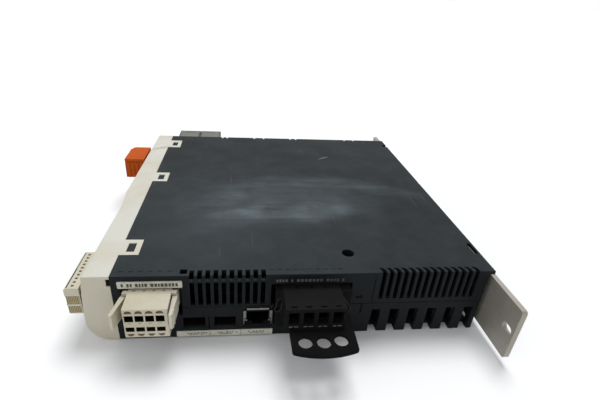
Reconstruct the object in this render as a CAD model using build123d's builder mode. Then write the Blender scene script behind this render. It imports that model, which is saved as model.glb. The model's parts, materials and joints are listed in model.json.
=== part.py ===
"""Compact single-axis servo drive, lying on its right-hand side.

Millimetres.  +X runs from the front bezel to the rear mounting plate, +Y from the
connector face that is at the top in a cabinet to the one at the bottom, and +Z is up, from
the side it rests on to its left-hand side.  The origin is the middle of the resting side.

Most places are given from the datum corner: x behind the seam between bezel and case, y
beyond the upper connector face, z above the resting side.
"""
from build123d import *
import os
from math import cos, radians, sin, sqrt

os.makedirs("parts", exist_ok=True)

# ---------------------------------------------------------------- driving dimensions
HEIGHT = 215.0          # case, along Y
WIDTH = 44.0            # case, along Z
BEZEL_DEPTH = 13.5      # cream front part, along X
CASE_DEPTH = 211.5      # dark case, along X
WALL = 1.8              # moulded walls and panels
SPLIT_Z = 22.5          # parting plane between cover and tray
BACK_X = 208.0          # rear end of the case walls, under the cover's lip
GAP = 0.3               # clearance round a piece that moves

SEAM_X = BEZEL_DEPTH - (BEZEL_DEPTH + CASE_DEPTH) / 2
NEAR_Y = -HEIGHT / 2

PLATE_LENGTH = 270.0
PLATE_WIDTH = 34.0
PLATE_THICK = 3.0
FIXING_SPACING = 258.0
FIXING_SLOT = 5.5
FIXING_SLOT_LENGTH = 8.0

VENT_WIDTH = 2.5
VENT_PITCH = 4.2
VENT_WRAP = 4.6         # how far the slots run on over the edge
LEFT_VENTS = 10
LEFT_VENT_X = 41.2
RIGHT_VENTS = 14
RIGHT_VENT_X = 146.0

OUTLETS = 6
OUTLET_X = 142.1
OUTLET_PITCH = 11.5
OUTLET_WIDTH = 5.7
OUTLET_TOP = 17.5
OUTLET_WRAP = 5.3

MAINS_X = 105.35        # middle of the mains plug
MAINS_PITCH = 7.62
SUPPLY_X = 19.95        # middle of the low-voltage supply plug
SUPPLY_PITCH = 5.08
LEVER_PIVOT_Y = -2.2
LEVER_SWING = 13.0      # degrees, from let go to pressed against the plug

JACK_WINDOW = (12.2, 7.6)
PULSE_JACK_X = (41.2, 58.2)
ENCODER_JACK_X = 76.5
ENCODER_JACK_WIDTH = 16.1
ENCODER_JACK_Z = (6.6, 21.2)
BOARD_THICK = 1.6
CONTROL_BOARD_Z = 5.0
POWER_BOARD_Z = 27.0

FAN_X = 184.5
FAN_Z = WIDTH / 2
FAN_SIZE = 40.0
FAN_Y = (190.5, 210.5)
FAN_BORE = 19.0
BLADES = 7

SCREW_X = 129.2
SCREW_Y = 18.9

PANEL_Y = (66.0, 146.0)  # opening of the operator panel in the bezel
PANEL_Z = (7.0, 38.0)
PANEL_X = -12.6          # front of the operator panel
BUTTON_Y = 98.0
BUTTON_Z = (13.0, 31.0)
BUTTON_RADIUS = 4.0
DIAL_Y = 122.0
DIAL_Z = 22.0
DIAL_RADIUS = 9.5
FLAP_Y = (38.3, 61.2)
FLAP_Z = (8.3, 36.7)
FLAP_PIN = (-13.9, 60.2)

IO_POLES = 10
IO_PITCH = 3.0
SAFETY_Y = (161.5, 190.0)
SAFETY_Z = (24.0, 41.0)
BUS_PLUGS_X = (14.4, 34.8)

CORNER = Vector(SEAM_X, NEAR_Y, 0)
FLOOR = Plane(CORNER, x_dir=(1, 0, 0), z_dir=(0, 0, 1))     # local x, y
NEAR = Plane(CORNER, x_dir=(1, 0, 0), z_dir=(0, -1, 0))     # local x, z, normal outwards
SECTION = Plane(CORNER, x_dir=(0, 1, 0), z_dir=(1, 0, 0))   # local y, z, normal to the rear


# ---------------------------------------------------------------- helpers
def block(x, y, z, mode=Mode.ADD):
    """Box between the two ends given along each axis, from the datum corner."""
    middle = Vector((x[0] + x[1]) / 2, (y[0] + y[1]) / 2, (z[0] + z[1]) / 2)
    with Locations(CORNER + middle):
        Box(x[1] - x[0], y[1] - y[0], z[1] - z[0], mode=mode)


def cut(x, y, z):
    """The same box, taken away."""
    block(x, y, z, mode=Mode.SUBTRACT)


def cut_row(xs, width, y, z):
    """Equal boxes taken away at each place along x."""
    middle = Vector(0, (y[0] + y[1]) / 2, (z[0] + z[1]) / 2)
    with Locations(*[CORNER + middle + Vector(x, 0, 0) for x in xs]):
        Box(width, y[1] - y[0], z[1] - z[0], mode=Mode.SUBTRACT)


def cut_column(ys, width, x, z):
    """Equal boxes taken away at each place along y."""
    middle = Vector((x[0] + x[1]) / 2, 0, (z[0] + z[1]) / 2)
    with Locations(*[CORNER + middle + Vector(0, y, 0) for y in ys]):
        Box(x[1] - x[0], width, z[1] - z[0], mode=Mode.SUBTRACT)


def round_bars(plane, centres, radius, start, length, mode=Mode.ADD):
    """Cylinders standing on a datum plane: centres in the plane, start along its normal."""
    with BuildSketch(plane.offset(start)) as profile:
        with Locations(*centres):
            Circle(radius)
    extrude(profile.sketch, amount=length, mode=mode)


def round_bar(plane, centre, radius, start, length, mode=Mode.ADD):
    """One such cylinder."""
    round_bars(plane, [centre], radius, start, length, mode)


def poles(middle, pitch, count):
    """Places of a row of poles about its middle."""
    return [middle + pitch * (i - (count - 1) / 2) for i in range(count)]


def span(middle, width):
    """The two ends of a width about its middle."""
    return (middle - width / 2, middle + width / 2)


def grown(ends, by):
    """A pair of ends moved apart."""
    return (ends[0] - by, ends[1] + by)


def fan_slots():
    """Upright slots of the fan grille in the far wall, with a bar across the middle."""
    with BuildSketch(NEAR.offset(-HEIGHT - 1)) as grille:
        for dx in poles(0, VENT_PITCH, 9):
            reach = sqrt(18.6 ** 2 - dx ** 2)
            with Locations((FAN_X + dx, FAN_Z)):
                Rectangle(VENT_WIDTH - 0.3, 2 * reach)
        with Locations((FAN_X, FAN_Z)):
            Rectangle(FAN_SIZE, 1.8, mode=Mode.SUBTRACT)
    extrude(grille.sketch, amount=WALL + 2, mode=Mode.SUBTRACT)


# ---------------------------------------------------------------- case: cover and tray
TABS_Y = ((19.0, 34.0), (112.8, 128.4), (184.4, 201.8))
TAB_WINDOW_X = (3.0, 7.4)
TAB_REACH = 10.5
TAB_THICK = 1.3
MAINS_RECESS_X = (85.4, 128.5)
MAINS_POCKET_X = 83.4    # the cover's part of the recess is wider, above the encoder jack
MAINS_RECESS_Z = (8.0, 37.6)
SUPPLY_RECESS_X = (4.5, 35.4)
SUPPLY_RECESS_Z = (17.0, 36.3)
MOTOR_X = (95.0, 134.0)
BRAKE_X = (66.0, 84.0)
FAR_SOCKET_Z = (24.0, 38.0)
BUS_INNER_Z = (26.0, 39.0)
BUS_INNER_WIDTH = 17.0
TONGUE_SLITS_X = (47.8, 52.2, 79.0, 88.4, 115.2, 120.8, 171.0, 180.2)

with BuildPart() as cover:
    with BuildSketch(FLOOR.offset(SPLIT_Z)):
        with Locations((BACK_X / 2, HEIGHT / 2)):
            Rectangle(BACK_X, HEIGHT)
    extrude(amount=WIDTH - SPLIT_Z)
    block((BACK_X - 1, CASE_DEPTH), (0, HEIGHT), (WIDTH - WALL - 0.4, WIDTH))
    top_edges = cover.faces().sort_by(Axis.Z)[-1].edges()
    fillet(top_edges.filter_by(Axis.X), radius=0.7)
    fillet(cover.faces().sort_by(Axis.X)[-1].edges().sort_by(Axis.Z)[-1], radius=0.7)
    cut((-1, BACK_X - WALL), (WALL, HEIGHT - WALL), (SPLIT_Z - 1, WIDTH - WALL))
    # left vents: a short slot over the edge and a long one under a thin bar
    left_vents = poles(LEFT_VENT_X + VENT_PITCH * (LEFT_VENTS - 1) / 2, VENT_PITCH, LEFT_VENTS)
    cut_row(left_vents, VENT_WIDTH, (-1, VENT_WRAP), (40.5, WIDTH + 1))
    cut_row(left_vents, VENT_WIDTH, (-1, WALL + 1), (23.4, 39.2))
    # right vents: one slot each, with a slanted upper end on the top panel
    right_vents = poles(RIGHT_VENT_X + VENT_PITCH * (RIGHT_VENTS - 1) / 2, VENT_PITCH, RIGHT_VENTS)
    cut_row(right_vents, VENT_WIDTH, (-1, WALL + 1), (25.4, WIDTH - WALL))
    with BuildSketch(FLOOR.offset(WIDTH - WALL - 1)):
        for x in right_vents:
            with BuildLine():
                Polyline(
                    (x - VENT_WIDTH / 2, -1),
                    (x + VENT_WIDTH / 2, -1),
                    (x + VENT_WIDTH / 2, VENT_WRAP - 2.2),
                    (x + VENT_WIDTH / 2 - 1.4, VENT_WRAP),
                    (x - VENT_WIDTH / 2 - 1.4, VENT_WRAP),
                    (x - VENT_WIDTH / 2, VENT_WRAP - 2.2),
                    close=True,
                )
            make_face()
    extrude(amount=WALL + 2, mode=Mode.SUBTRACT)
    # rows of moulded dashes along the edge, and the square keying hole
    dashes = poles(17.3, 5.0, 6) + poles(102.5, VENT_PITCH, 10)
    cut_row(dashes, 2.4, (3.4, 4.6), (WIDTH - 0.2, WIDTH + 1))
    cut((35.0, 38.8), (1.9, 5.6), (WIDTH - WALL - 1, WIDTH + 1))
    # sockets on the upper connector face
    cut((MAINS_POCKET_X, MAINS_RECESS_X[1]), (-1, WALL + 1), (SPLIT_Z - 1, MAINS_RECESS_Z[1]))
    cut(SUPPLY_RECESS_X, (-1, WALL + 1), (SPLIT_Z - 1, SUPPLY_RECESS_Z[1]))
    # marks beside the mains socket: blind window and panel lines
    cut((131.2, 135.4), (-1, 0.9), (26.4, 28.4))
    cut((141.0, 141.5), (-1, 0.5), (SPLIT_Z, WIDTH - 2.5))
    cut((-1, BACK_X + 1), (-1, 0.4), (SPLIT_Z - 1, SPLIT_Z + 0.35))
    # sockets and grilles on the lower connector face
    through_far_wall = (HEIGHT - WALL - 1, HEIGHT + 1)
    cut_row(BUS_PLUGS_X, BUS_INNER_WIDTH + 2 * GAP, through_far_wall, grown(BUS_INNER_Z, GAP))
    cut(MOTOR_X, through_far_wall, FAR_SOCKET_Z)
    cut(BRAKE_X, through_far_wall, FAR_SOCKET_Z)
    cut_row(poles(148.0, VENT_PITCH, 5), VENT_WIDTH, through_far_wall, (25.0, 40.0))
    fan_slots()
    # slits that free the snap tongues of the far edge
    cut_row(TONGUE_SLITS_X, 1.5, (HEIGHT - WALL - 1.4, HEIGHT + 1), (SPLIT_Z + 14, WIDTH + 1))
    # slots and notches of the rear edge
    cut((207.2, 209.8), (17.2, 27.8), (WIDTH - WALL - 1, WIDTH + 1))
    cut((207.2, CASE_DEPTH + 1), (197.2, 202.0), (WIDTH - WALL - 1, WIDTH + 1))
    cut((210.4, CASE_DEPTH + 1), (114.5, 116.6), (WIDTH - WALL - 1, WIDTH + 1))
    # pockets for the bezel's clip tabs, each with its snap nose
    for tab in TABS_Y:
        block((0, TAB_REACH + 2), (tab[0] - 2, tab[1] + 2), (WIDTH - 3.2, WIDTH - WALL))
        cut((-1, TAB_REACH + 0.5), (tab[0] - 0.2, tab[1] + 0.2), (WIDTH - TAB_THICK - 0.1, WIDTH + 1))
        nose = (TAB_WINDOW_X[0] + 0.5, TAB_WINDOW_X[1] - 0.5)
        middle = (tab[0] + tab[1]) / 2 - 0.3
        block(nose, span(middle, 6.8), (WIDTH - TAB_THICK - 0.3, WIDTH - 0.5))
    # screw boss under the round hole
    round_bar(FLOOR, (SCREW_X, SCREW_Y), 4.9, 30.0, WIDTH - WALL - 30.0)
    round_bar(FLOOR, (SCREW_X, SCREW_Y), 3.6, 36.0, WIDTH, Mode.SUBTRACT)
    round_bar(FLOOR, (SCREW_X, SCREW_Y), 1.7, 29.0, 10.0, Mode.SUBTRACT)
cover.part.label = "housing_cover"
export_step(cover.part, "parts/housing_cover.step")

with BuildPart() as tray:
    with BuildSketch(FLOOR):
        with Locations((BACK_X / 2, HEIGHT / 2)):
            Rectangle(BACK_X, HEIGHT)
    extrude(amount=SPLIT_Z)
    fillet(tray.faces().sort_by(Axis.Z)[0].edges().filter_by(Axis.X), radius=0.7)
    cut((-1, BACK_X - WALL), (WALL, HEIGHT - WALL), (WALL, SPLIT_Z + 1))
    cut((BACK_X - WALL - 1, BACK_X + 1), (5.7, 189.3), (WALL, SPLIT_Z + 1))
    # comb of heat-sink outlets, open at the bottom edge
    first = OUTLET_X + OUTLET_WIDTH / 2
    outlets = [first + OUTLET_PITCH * i for i in range(OUTLETS)]
    cut_row(outlets, OUTLET_WIDTH, (-1, OUTLET_WRAP), (-1, OUTLET_TOP))
    # sockets on the upper connector face
    cut(MAINS_RECESS_X, (-1, WALL + 1), (MAINS_RECESS_Z[0], SPLIT_Z + 1))
    cut(SUPPLY_RECESS_X, (-1, WALL + 1), (SUPPLY_RECESS_Z[0], SPLIT_Z + 1))
    cut_row(PULSE_JACK_X, JACK_WINDOW[0], (-1, WALL + 1), (7.0, 7.0 + JACK_WINDOW[1]))
    cut_row(PULSE_JACK_X, 15.6, (-1, 0.3), (6.4, 16.4))
    cut(span(ENCODER_JACK_X, ENCODER_JACK_WIDTH + 0.5), (-1, WALL + 1), grown(ENCODER_JACK_Z, 0.25))
    cut((48.95, 49.75), (-1, 1.2), (5.6, 15.4))
    # panel lines beside the mains socket
    cut((-1, BACK_X + 1), (-1, 0.4), (SPLIT_Z - 0.35, SPLIT_Z + 1))
    cut((135.2, 136.2), (-1, 0.8), (15.0, SPLIT_Z))
    fan_slots()
    # post that takes the case screw
    round_bar(FLOOR, (SCREW_X, SCREW_Y), 4.2, WALL, 28.0 - WALL)
    round_bar(FLOOR, (SCREW_X, SCREW_Y), 1.6, 8.0, 30.0, Mode.SUBTRACT)
tray.part.label = "housing_tray"
export_step(tray.part, "parts/housing_tray.step")

with BuildPart() as case_screw:
    round_bar(FLOOR, (SCREW_X, SCREW_Y), 3.1, 36.0, 2.4)
    fillet(case_screw.faces().sort_by(Axis.Z)[-1].edges(), radius=0.7)
    round_bar(FLOOR, (SCREW_X, SCREW_Y), 1.45, 12.0, 24.0)
    cut(span(SCREW_X, 3.4), span(SCREW_Y, 0.8), (37.2, 39))
    cut(span(SCREW_X, 0.8), span(SCREW_Y, 3.4), (37.2, 39))
case_screw.part.label = "case_screw"
export_step(case_screw.part, "parts/case_screw.step")

# ---------------------------------------------------------------- cream front bezel
BEZEL_STATIONS = ((0.0, 0.0), (77.0, 1.0), (94.0, -0.9), (HEIGHT, 0.5))


def bezel_shift(y):
    """How far the front skin stands in or out at a height along the bezel."""
    for (y0, s0), (y1, s1) in zip(BEZEL_STATIONS, BEZEL_STATIONS[1:]):
        if y <= y1:
            return s0 + (s1 - s0) * (y - y0) / (y1 - y0)
    return BEZEL_STATIONS[-1][1]


def bezel_section(y, inset, rear):
    """Cross-section of the bezel: sharp on the upper side, well rounded on the resting side."""
    front = bezel_shift(y) + inset
    with BuildSketch(NEAR.offset(-y)) as section:
        with BuildLine():
            Line((rear, inset), (-3.0, inset))
            TangentArc((-3.0, inset), (-16.0 + front, 14.0), tangent=(-1, 0))
            ThreePointArc((-16.0 + front, 14.0), (-15.3 + front, 29.7), (-13.5 + front, WIDTH - inset))
            Line((-13.5 + front, WIDTH - inset), (rear, WIDTH - inset))
            Line((rear, WIDTH - inset), (rear, inset))
        make_face()
    return section.sketch


def bezel_body(ends, inset, rear, mode):
    """Ruled body through the bezel's sections between two heights."""
    heights = [ends[0]] + [y for y, _ in BEZEL_STATIONS if ends[0] < y < ends[1]] + [ends[1]]
    loft([bezel_section(y, inset, rear) for y in heights], ruled=True, mode=mode)


IO_Y = (1.0, 1.0 + IO_POLES * IO_PITCH + 2.0)
IO_Z = (19.2, 36.0)
IO_INNER_Y = (3.4, IO_Y[1] - 1.6)
IO_INNER_Z = (20.4, 34.8)
SAFETY_INNER_Y = (SAFETY_Y[0] + 1.2, SAFETY_Y[1] - 1.2)
SAFETY_INNER_Z = (SAFETY_Z[0] + 1.2, SAFETY_Z[1] - 2.0)
CARD_Y = (195.0, 210.0)
CARD_Z = (14.2, 15.1)


with BuildPart() as bezel:
    bezel_body((0, HEIGHT), 0, 0, Mode.ADD)
    bezel_body((WALL, HEIGHT - WALL), WALL + 0.2, 1.0, Mode.SUBTRACT)
    cut((-20, -8), (FLAP_Y[0] - 0.5, FLAP_Y[1] + 1.5), grown(FLAP_Z, 0.3))
    cut((-20, -8), grown(IO_INNER_Y, GAP), grown(IO_INNER_Z, GAP))
    cut((-20, -8), grown(SAFETY_INNER_Y, GAP), grown(SAFETY_INNER_Z, GAP))
    cut((-20, -8), grown(CARD_Y, GAP), grown(CARD_Z, GAP + 0.2))
    cut((-1.9, 1.0), (-1, 1.0), (38.0, 42.4))
    # ears that hold the flap's pin
    for z in ((FLAP_Z[0] - 2.0, FLAP_Z[0] - 0.3), (FLAP_Z[1] + 0.3, FLAP_Z[1] + 2.0)):
        block(span(FLAP_PIN[0], 2.6), span(FLAP_PIN[1], 2.6), z)
    round_bar(FLOOR, FLAP_PIN, 0.68, FLAP_Z[0] - 1.3, FLAP_Z[1] - FLAP_Z[0] + 2.6, Mode.SUBTRACT)
    # rim and ledge that hold the operator panel
    block((PANEL_X, -8.6), grown(PANEL_Y, 2.0), grown(PANEL_Z, 2.0))
    cut((-20, -10.6), PANEL_Y, PANEL_Z)
    cut((-12, -8), grown(PANEL_Y, -0.8), grown(PANEL_Z, -0.8))
    for tab in TABS_Y:
        block((-3.0, TAB_REACH), tab, (WIDTH - TAB_THICK, WIDTH))
        middle = (tab[0] + tab[1]) / 2 - 0.3
        cut(TAB_WINDOW_X, span(middle, 8.4), (WIDTH - 3, WIDTH + 1))
bezel.part.label = "front_bezel"
export_step(bezel.part, "parts/front_bezel.step")

with BuildPart() as flap:
    bezel_body(FLAP_Y, 0, 0, Mode.ADD)
    bezel_body(grown(FLAP_Y, 1), WALL, 1.0, Mode.SUBTRACT)
    block((-20, -9), FLAP_Y, FLAP_Z, mode=Mode.INTERSECT)
    round_bar(FLOOR, FLAP_PIN, 1.0, FLAP_Z[0], FLAP_Z[1] - FLAP_Z[0])
    round_bar(FLOOR, FLAP_PIN, 0.6, FLAP_Z[0] - 1.2, FLAP_Z[1] - FLAP_Z[0] + 2.4)
    # finger rib at the free end
    cut((-20, -14.4), (FLAP_Y[0] + 2.0, FLAP_Y[0] + 3.0), (16.0, 29.0))
    cut((-20, -14.4), (FLAP_Y[0] + 4.0, FLAP_Y[0] + 5.0), (16.0, 29.0))
flap.part.label = "service_flap"
export_step(flap.part, "parts/service_flap.step")

with BuildPart() as panel:
    block((PANEL_X, -10.6), grown(PANEL_Y, -0.2), grown(PANEL_Z, -0.2))
    fillet(panel.faces().sort_by(Axis.X)[0].edges(), radius=0.5)
    cut((-14, -10), (71, 85), (9.5, 35.5))
    for z in BUTTON_Z:
        round_bar(SECTION, (BUTTON_Y, z), BUTTON_RADIUS + GAP, -14, 5, Mode.SUBTRACT)
    round_bar(SECTION, (DIAL_Y, DIAL_Z), 4.3, -14, 5, Mode.SUBTRACT)
    for z in poles(22.0, 6.0, 4):
        round_bar(SECTION, (89.5, z), 1.2, -14, 5, Mode.SUBTRACT)
panel.part.label = "operator_panel"
export_step(panel.part, "parts/operator_panel.step")

with BuildPart() as window:
    block((-12.8, -11.2), (71, 85), (9.5, 35.5))
    fillet(window.faces().sort_by(Axis.X)[0].edges(), radius=0.4)
window.part.label = "display_window"
export_step(window.part, "parts/display_window.step")

with BuildPart() as display:
    block((-10.2, 1.0), (72, 84), (10.5, 34.5))
display.part.label = "display_module"
export_step(display.part, "parts/display_module.step")

with BuildPart() as light_pipes:
    for z in poles(22.0, 6.0, 4):
        round_bar(SECTION, (89.5, z), 1.15, -12.9, 13.9)
light_pipes.part.label = "light_pipes"
export_step(light_pipes.part, "parts/light_pipes.step")

for label, z in (("escape_button", BUTTON_Z[0]), ("enter_button", BUTTON_Z[1])):
    with BuildPart() as button:
        round_bar(SECTION, (BUTTON_Y, z), BUTTON_RADIUS, -14.2, 3.8)
        fillet(button.faces().sort_by(Axis.X)[0].edges(), radius=0.8)
        round_bar(SECTION, (BUTTON_Y, z), BUTTON_RADIUS + 0.9, -10.4, 1.0)
        round_bar(SECTION, (BUTTON_Y, z), 1.4, -9.4, 3.6)
    button.part.label = label
    export_step(button.part, f"parts/{label}.step")

with BuildPart() as dial_stem:
    round_bar(SECTION, (DIAL_Y, DIAL_Z), 3.0, -16.4, 10.6)
    round_bar(SECTION, (DIAL_Y, DIAL_Z), 3.9, -10.4, 1.4)
dial_stem.part.label = "dial_stem"
export_step(dial_stem.part, "parts/dial_stem.step")

with BuildPart() as dial:
    round_bar(SECTION, (DIAL_Y, DIAL_Z), DIAL_RADIUS, -18.6, 4.7)
    fillet(dial.faces().sort_by(Axis.X)[0].edges(), radius=1.2)
    with BuildSketch(SECTION.offset(-19.0)):
        with Locations((DIAL_Y, DIAL_Z)):
            with PolarLocations(DIAL_RADIUS + 0.35, 24):
                Circle(0.7)
    extrude(amount=6, mode=Mode.SUBTRACT)
    round_bar(SECTION, (DIAL_Y + 5.2, DIAL_Z), 1.6, -19.0, 1.2, Mode.SUBTRACT)
    round_bar(SECTION, (DIAL_Y, DIAL_Z), 3.05, -16.6, 4, Mode.SUBTRACT)
    round_bar(SECTION, (DIAL_Y, DIAL_Z), 7.5, -14.6, 4, Mode.SUBTRACT)
    with BuildSketch(SECTION.offset(-16.0)):
        with Locations((DIAL_Y, DIAL_Z)):
            Circle(4.2)
            Circle(3.05, mode=Mode.SUBTRACT)
    extrude(amount=2.1)
dial.part.label = "navigation_dial"
export_step(dial.part, "parts/navigation_dial.step")

with BuildPart() as switches:
    for z in BUTTON_Z:
        block((-3.4, 1.0), span(BUTTON_Y, 6.0), span(z, 6.0))
        round_bar(SECTION, (BUTTON_Y, z), 1.5, -4.4, 1.5)
switches.part.label = "button_switches"
export_step(switches.part, "parts/button_switches.step")

with BuildPart() as dial_encoder:
    block((-4.4, 1.0), span(DIAL_Y, 12.4), span(DIAL_Z, 12.4))
    chamfer(dial_encoder.faces().sort_by(Axis.X)[0].edges(), length=0.6)
dial_encoder.part.label = "dial_encoder"
export_step(dial_encoder.part, "parts/dial_encoder.step")

with BuildPart() as front_board:
    block((1.0, 1.0 + BOARD_THICK), (3.0, 150.0), (8.0, 40.0))
front_board.part.label = "front_board"
export_step(front_board.part, "parts/front_board.step")

with BuildPart() as service_jack:
    block((-9.0, 1.0), span(49.5, 15.4), (12.0, 26.5))
    cut((-10, -0.6), span(49.5, 11.8), (14.6, 21.6))
    cut((-10, -0.6), span(49.5, 6.2), (21.5, 23.6))
service_jack.part.label = "service_jack"
export_step(service_jack.part, "parts/service_jack.step")

with BuildPart() as card:
    block((-17.6, 6.0), CARD_Y, CARD_Z)
    chamfer(card.edges().filter_by(Axis.Z).group_by(Axis.X)[0], length=1.4)
card.part.label = "memory_card"
export_step(card.part, "parts/memory_card.step")

with BuildPart() as card_socket:
    block((-9.0, 12.0), grown(CARD_Y, 1.6), (11.6, 17.6))
    cut((-10.0, 7.0), grown(CARD_Y, 0.15), grown(CARD_Z, 0.15))
card_socket.part.label = "card_socket"
export_step(card_socket.part, "parts/card_socket.step")

# ---------------------------------------------------------------- signal plug on the front
IO_PLUG_X = -23.9
IO_ROWS_Z = ((19.8, 24.2), (25.6, 31.0))
IO_POLES_Y = poles((IO_Y[0] + IO_Y[1]) / 2, IO_PITCH, IO_POLES)

with BuildPart() as io_header:
    block((-9.0, 1.0), grown(IO_INNER_Y, 1.4), grown(IO_INNER_Z, 1.6))
    cut((-10.0, -1.5), grown(IO_INNER_Y, GAP), grown(IO_INNER_Z, GAP))
io_header.part.label = "signal_header"
export_step(io_header.part, "parts/signal_header.step")

with BuildPart() as io_plug:
    with BuildSketch(NEAR.offset(-IO_Y[0])):
        with BuildLine():
            Polyline(
                (-16.4, IO_Z[0]),
                (IO_PLUG_X + 0.7, IO_Z[0]),
                (IO_PLUG_X + 0.3, IO_Z[0] + 0.6),
                (IO_PLUG_X + 0.3, 24.4),
                (IO_PLUG_X, 25.4),
                (IO_PLUG_X, IO_Z[1] - 0.8),
                (IO_PLUG_X + 0.8, IO_Z[1]),
                (-16.4, IO_Z[1]),
                close=True,
            )
        make_face()
    extrude(amount=-(IO_Y[1] - IO_Y[0]))
    block((-17.0, -3.0), IO_INNER_Y, IO_INNER_Z)
    cut((-10.0, -2.0), grown(IO_INNER_Y, -1.2), (25.0, 27.0))
    cut((-10.0, -2.0), grown(IO_INNER_Y, -1.2), (31.0, 33.0))
    # wire holes of both rows, and the release holes along the upper side
    for row in IO_ROWS_Z:
        middle = (row[0] + row[1]) / 2
        cut_column(IO_POLES_Y, 2.0, (IO_PLUG_X - 1, -17.8), span(middle, 2.8))
        # open end pocket of the row's brown spring block
        cut((IO_PLUG_X - 1, -16.9), (IO_Y[0] - 1, IO_Y[0] + 0.6), row)
    cut_column(IO_POLES_Y, 1.4, (IO_PLUG_X + 3.1, IO_PLUG_X + 4.5), (IO_Z[1] - 1.6, IO_Z[1] + 1))
    cut((IO_PLUG_X + 0.9, IO_PLUG_X + 1.5), grown(IO_Y, -0.8), (IO_Z[1] - 0.7, IO_Z[1] + 1))
io_plug.part.label = "signal_plug"
export_step(io_plug.part, "parts/signal_plug.step")

# ---------------------------------------------------------------- orange safety plug
SAFETY_PLUG_X = -33.0

with BuildPart() as safety_header:
    block((-9.0, 5.0), grown(SAFETY_INNER_Y, 1.5), (21.6, 40.6))
    cut((-10.0, -1.5), grown(SAFETY_INNER_Y, GAP), grown(SAFETY_INNER_Z, GAP))
safety_header.part.label = "safety_header"
export_step(safety_header.part, "parts/safety_header.step")

with BuildPart() as safety_plug:
    with BuildSketch(FLOOR.offset(SAFETY_Z[0])):
        with BuildLine():
            Polyline(
                (-16.9, SAFETY_Y[0]),
                (SAFETY_PLUG_X, SAFETY_Y[0]),
                (SAFETY_PLUG_X, SAFETY_Y[1] - 5.0),
                (SAFETY_PLUG_X + 2.6, SAFETY_Y[1]),
                (-16.9, SAFETY_Y[1]),
                close=True,
            )
        make_face()
    extrude(amount=SAFETY_Z[1] - SAFETY_Z[0])
    block((-18.0, -3.0), SAFETY_INNER_Y, SAFETY_INNER_Z)
    cut((-10.0, -2.0), grown(SAFETY_INNER_Y, -1.6), (28.0, 30.4))
    cut((-10.0, -2.0), grown(SAFETY_INNER_Y, -1.6), (34.6, 37.0))
    # grooves between the poles on the side that faces up in a cabinet
    grooves_z = (SAFETY_Z[0] - 1, SAFETY_Z[1] - 2.2)
    cut_row(poles(-25.2, 3.5, 5), 1.2, (SAFETY_Y[0] - 1, SAFETY_Y[0] + 1.4), grooves_z)
    cut((SAFETY_PLUG_X - 1, -19.0), (SAFETY_Y[0] - 1, SAFETY_Y[0] + 0.6), (38.0, 38.7))
    safety_poles = poles((SAFETY_Y[0] + SAFETY_Y[1]) / 2 - 2.2, 3.5, 6)
    cut_column(safety_poles, 2.4, (SAFETY_PLUG_X - 1, SAFETY_PLUG_X + 8), (26.0, 29.4))
    cut_column(safety_poles, 2.4, (SAFETY_PLUG_X - 1, SAFETY_PLUG_X + 8), (34.0, 37.4))
    cut_column(safety_poles, 1.6, (SAFETY_PLUG_X - 1, SAFETY_PLUG_X + 3), (30.8, 32.6))
safety_plug.part.label = "safety_plug"
export_step(safety_plug.part, "parts/safety_plug.step")

with BuildPart() as safety_board:
    block((-8.0, 60.0), (152.0, 192.5), (20.0, 20.0 + BOARD_THICK))
safety_board.part.label = "safety_board"
export_step(safety_board.part, "parts/safety_board.step")

# ---------------------------------------------------------------- mains plug
MAINS_BLOCK_X = span(MAINS_X, 31.5)
MAINS_FRONT_Y = -20.3
MAINS_BOTTOM_Z = 25.5
MAINS_TOP_Z = 38.0
MAINS_REAR_TOP_Z = 36.0     # its top falls towards the case
MAINS_POLES = poles(MAINS_X, MAINS_PITCH, 4)

with BuildPart() as mains_header:
    block((MAINS_RECESS_X[0] - 0.7, MAINS_RECESS_X[1] + 1.5), (WALL, 10.0),
          (MAINS_RECESS_Z[0] - 0.9, MAINS_RECESS_Z[1] + 1.5))
    block((MAINS_POCKET_X - 0.7, MAINS_RECESS_X[0]), (WALL, 10.0),
          (SPLIT_Z - 0.7, MAINS_RECESS_Z[1] + 1.5))
    block(grown(MAINS_BLOCK_X, 1.7), (8.0, 20.5), (12.2, 40.0))
    cut(MAINS_RECESS_X, (0, 8.0), MAINS_RECESS_Z)
    cut((MAINS_POCKET_X, MAINS_RECESS_X[0] + 1), (0, 8.0), (SPLIT_Z, MAINS_RECESS_Z[1]))
    cut(grown(MAINS_BLOCK_X, GAP), (0, 18.0), (14.0 - GAP, MAINS_REAR_TOP_Z + GAP))
mains_header.part.label = "mains_header"
export_step(mains_header.part, "parts/mains_header.step")

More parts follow.
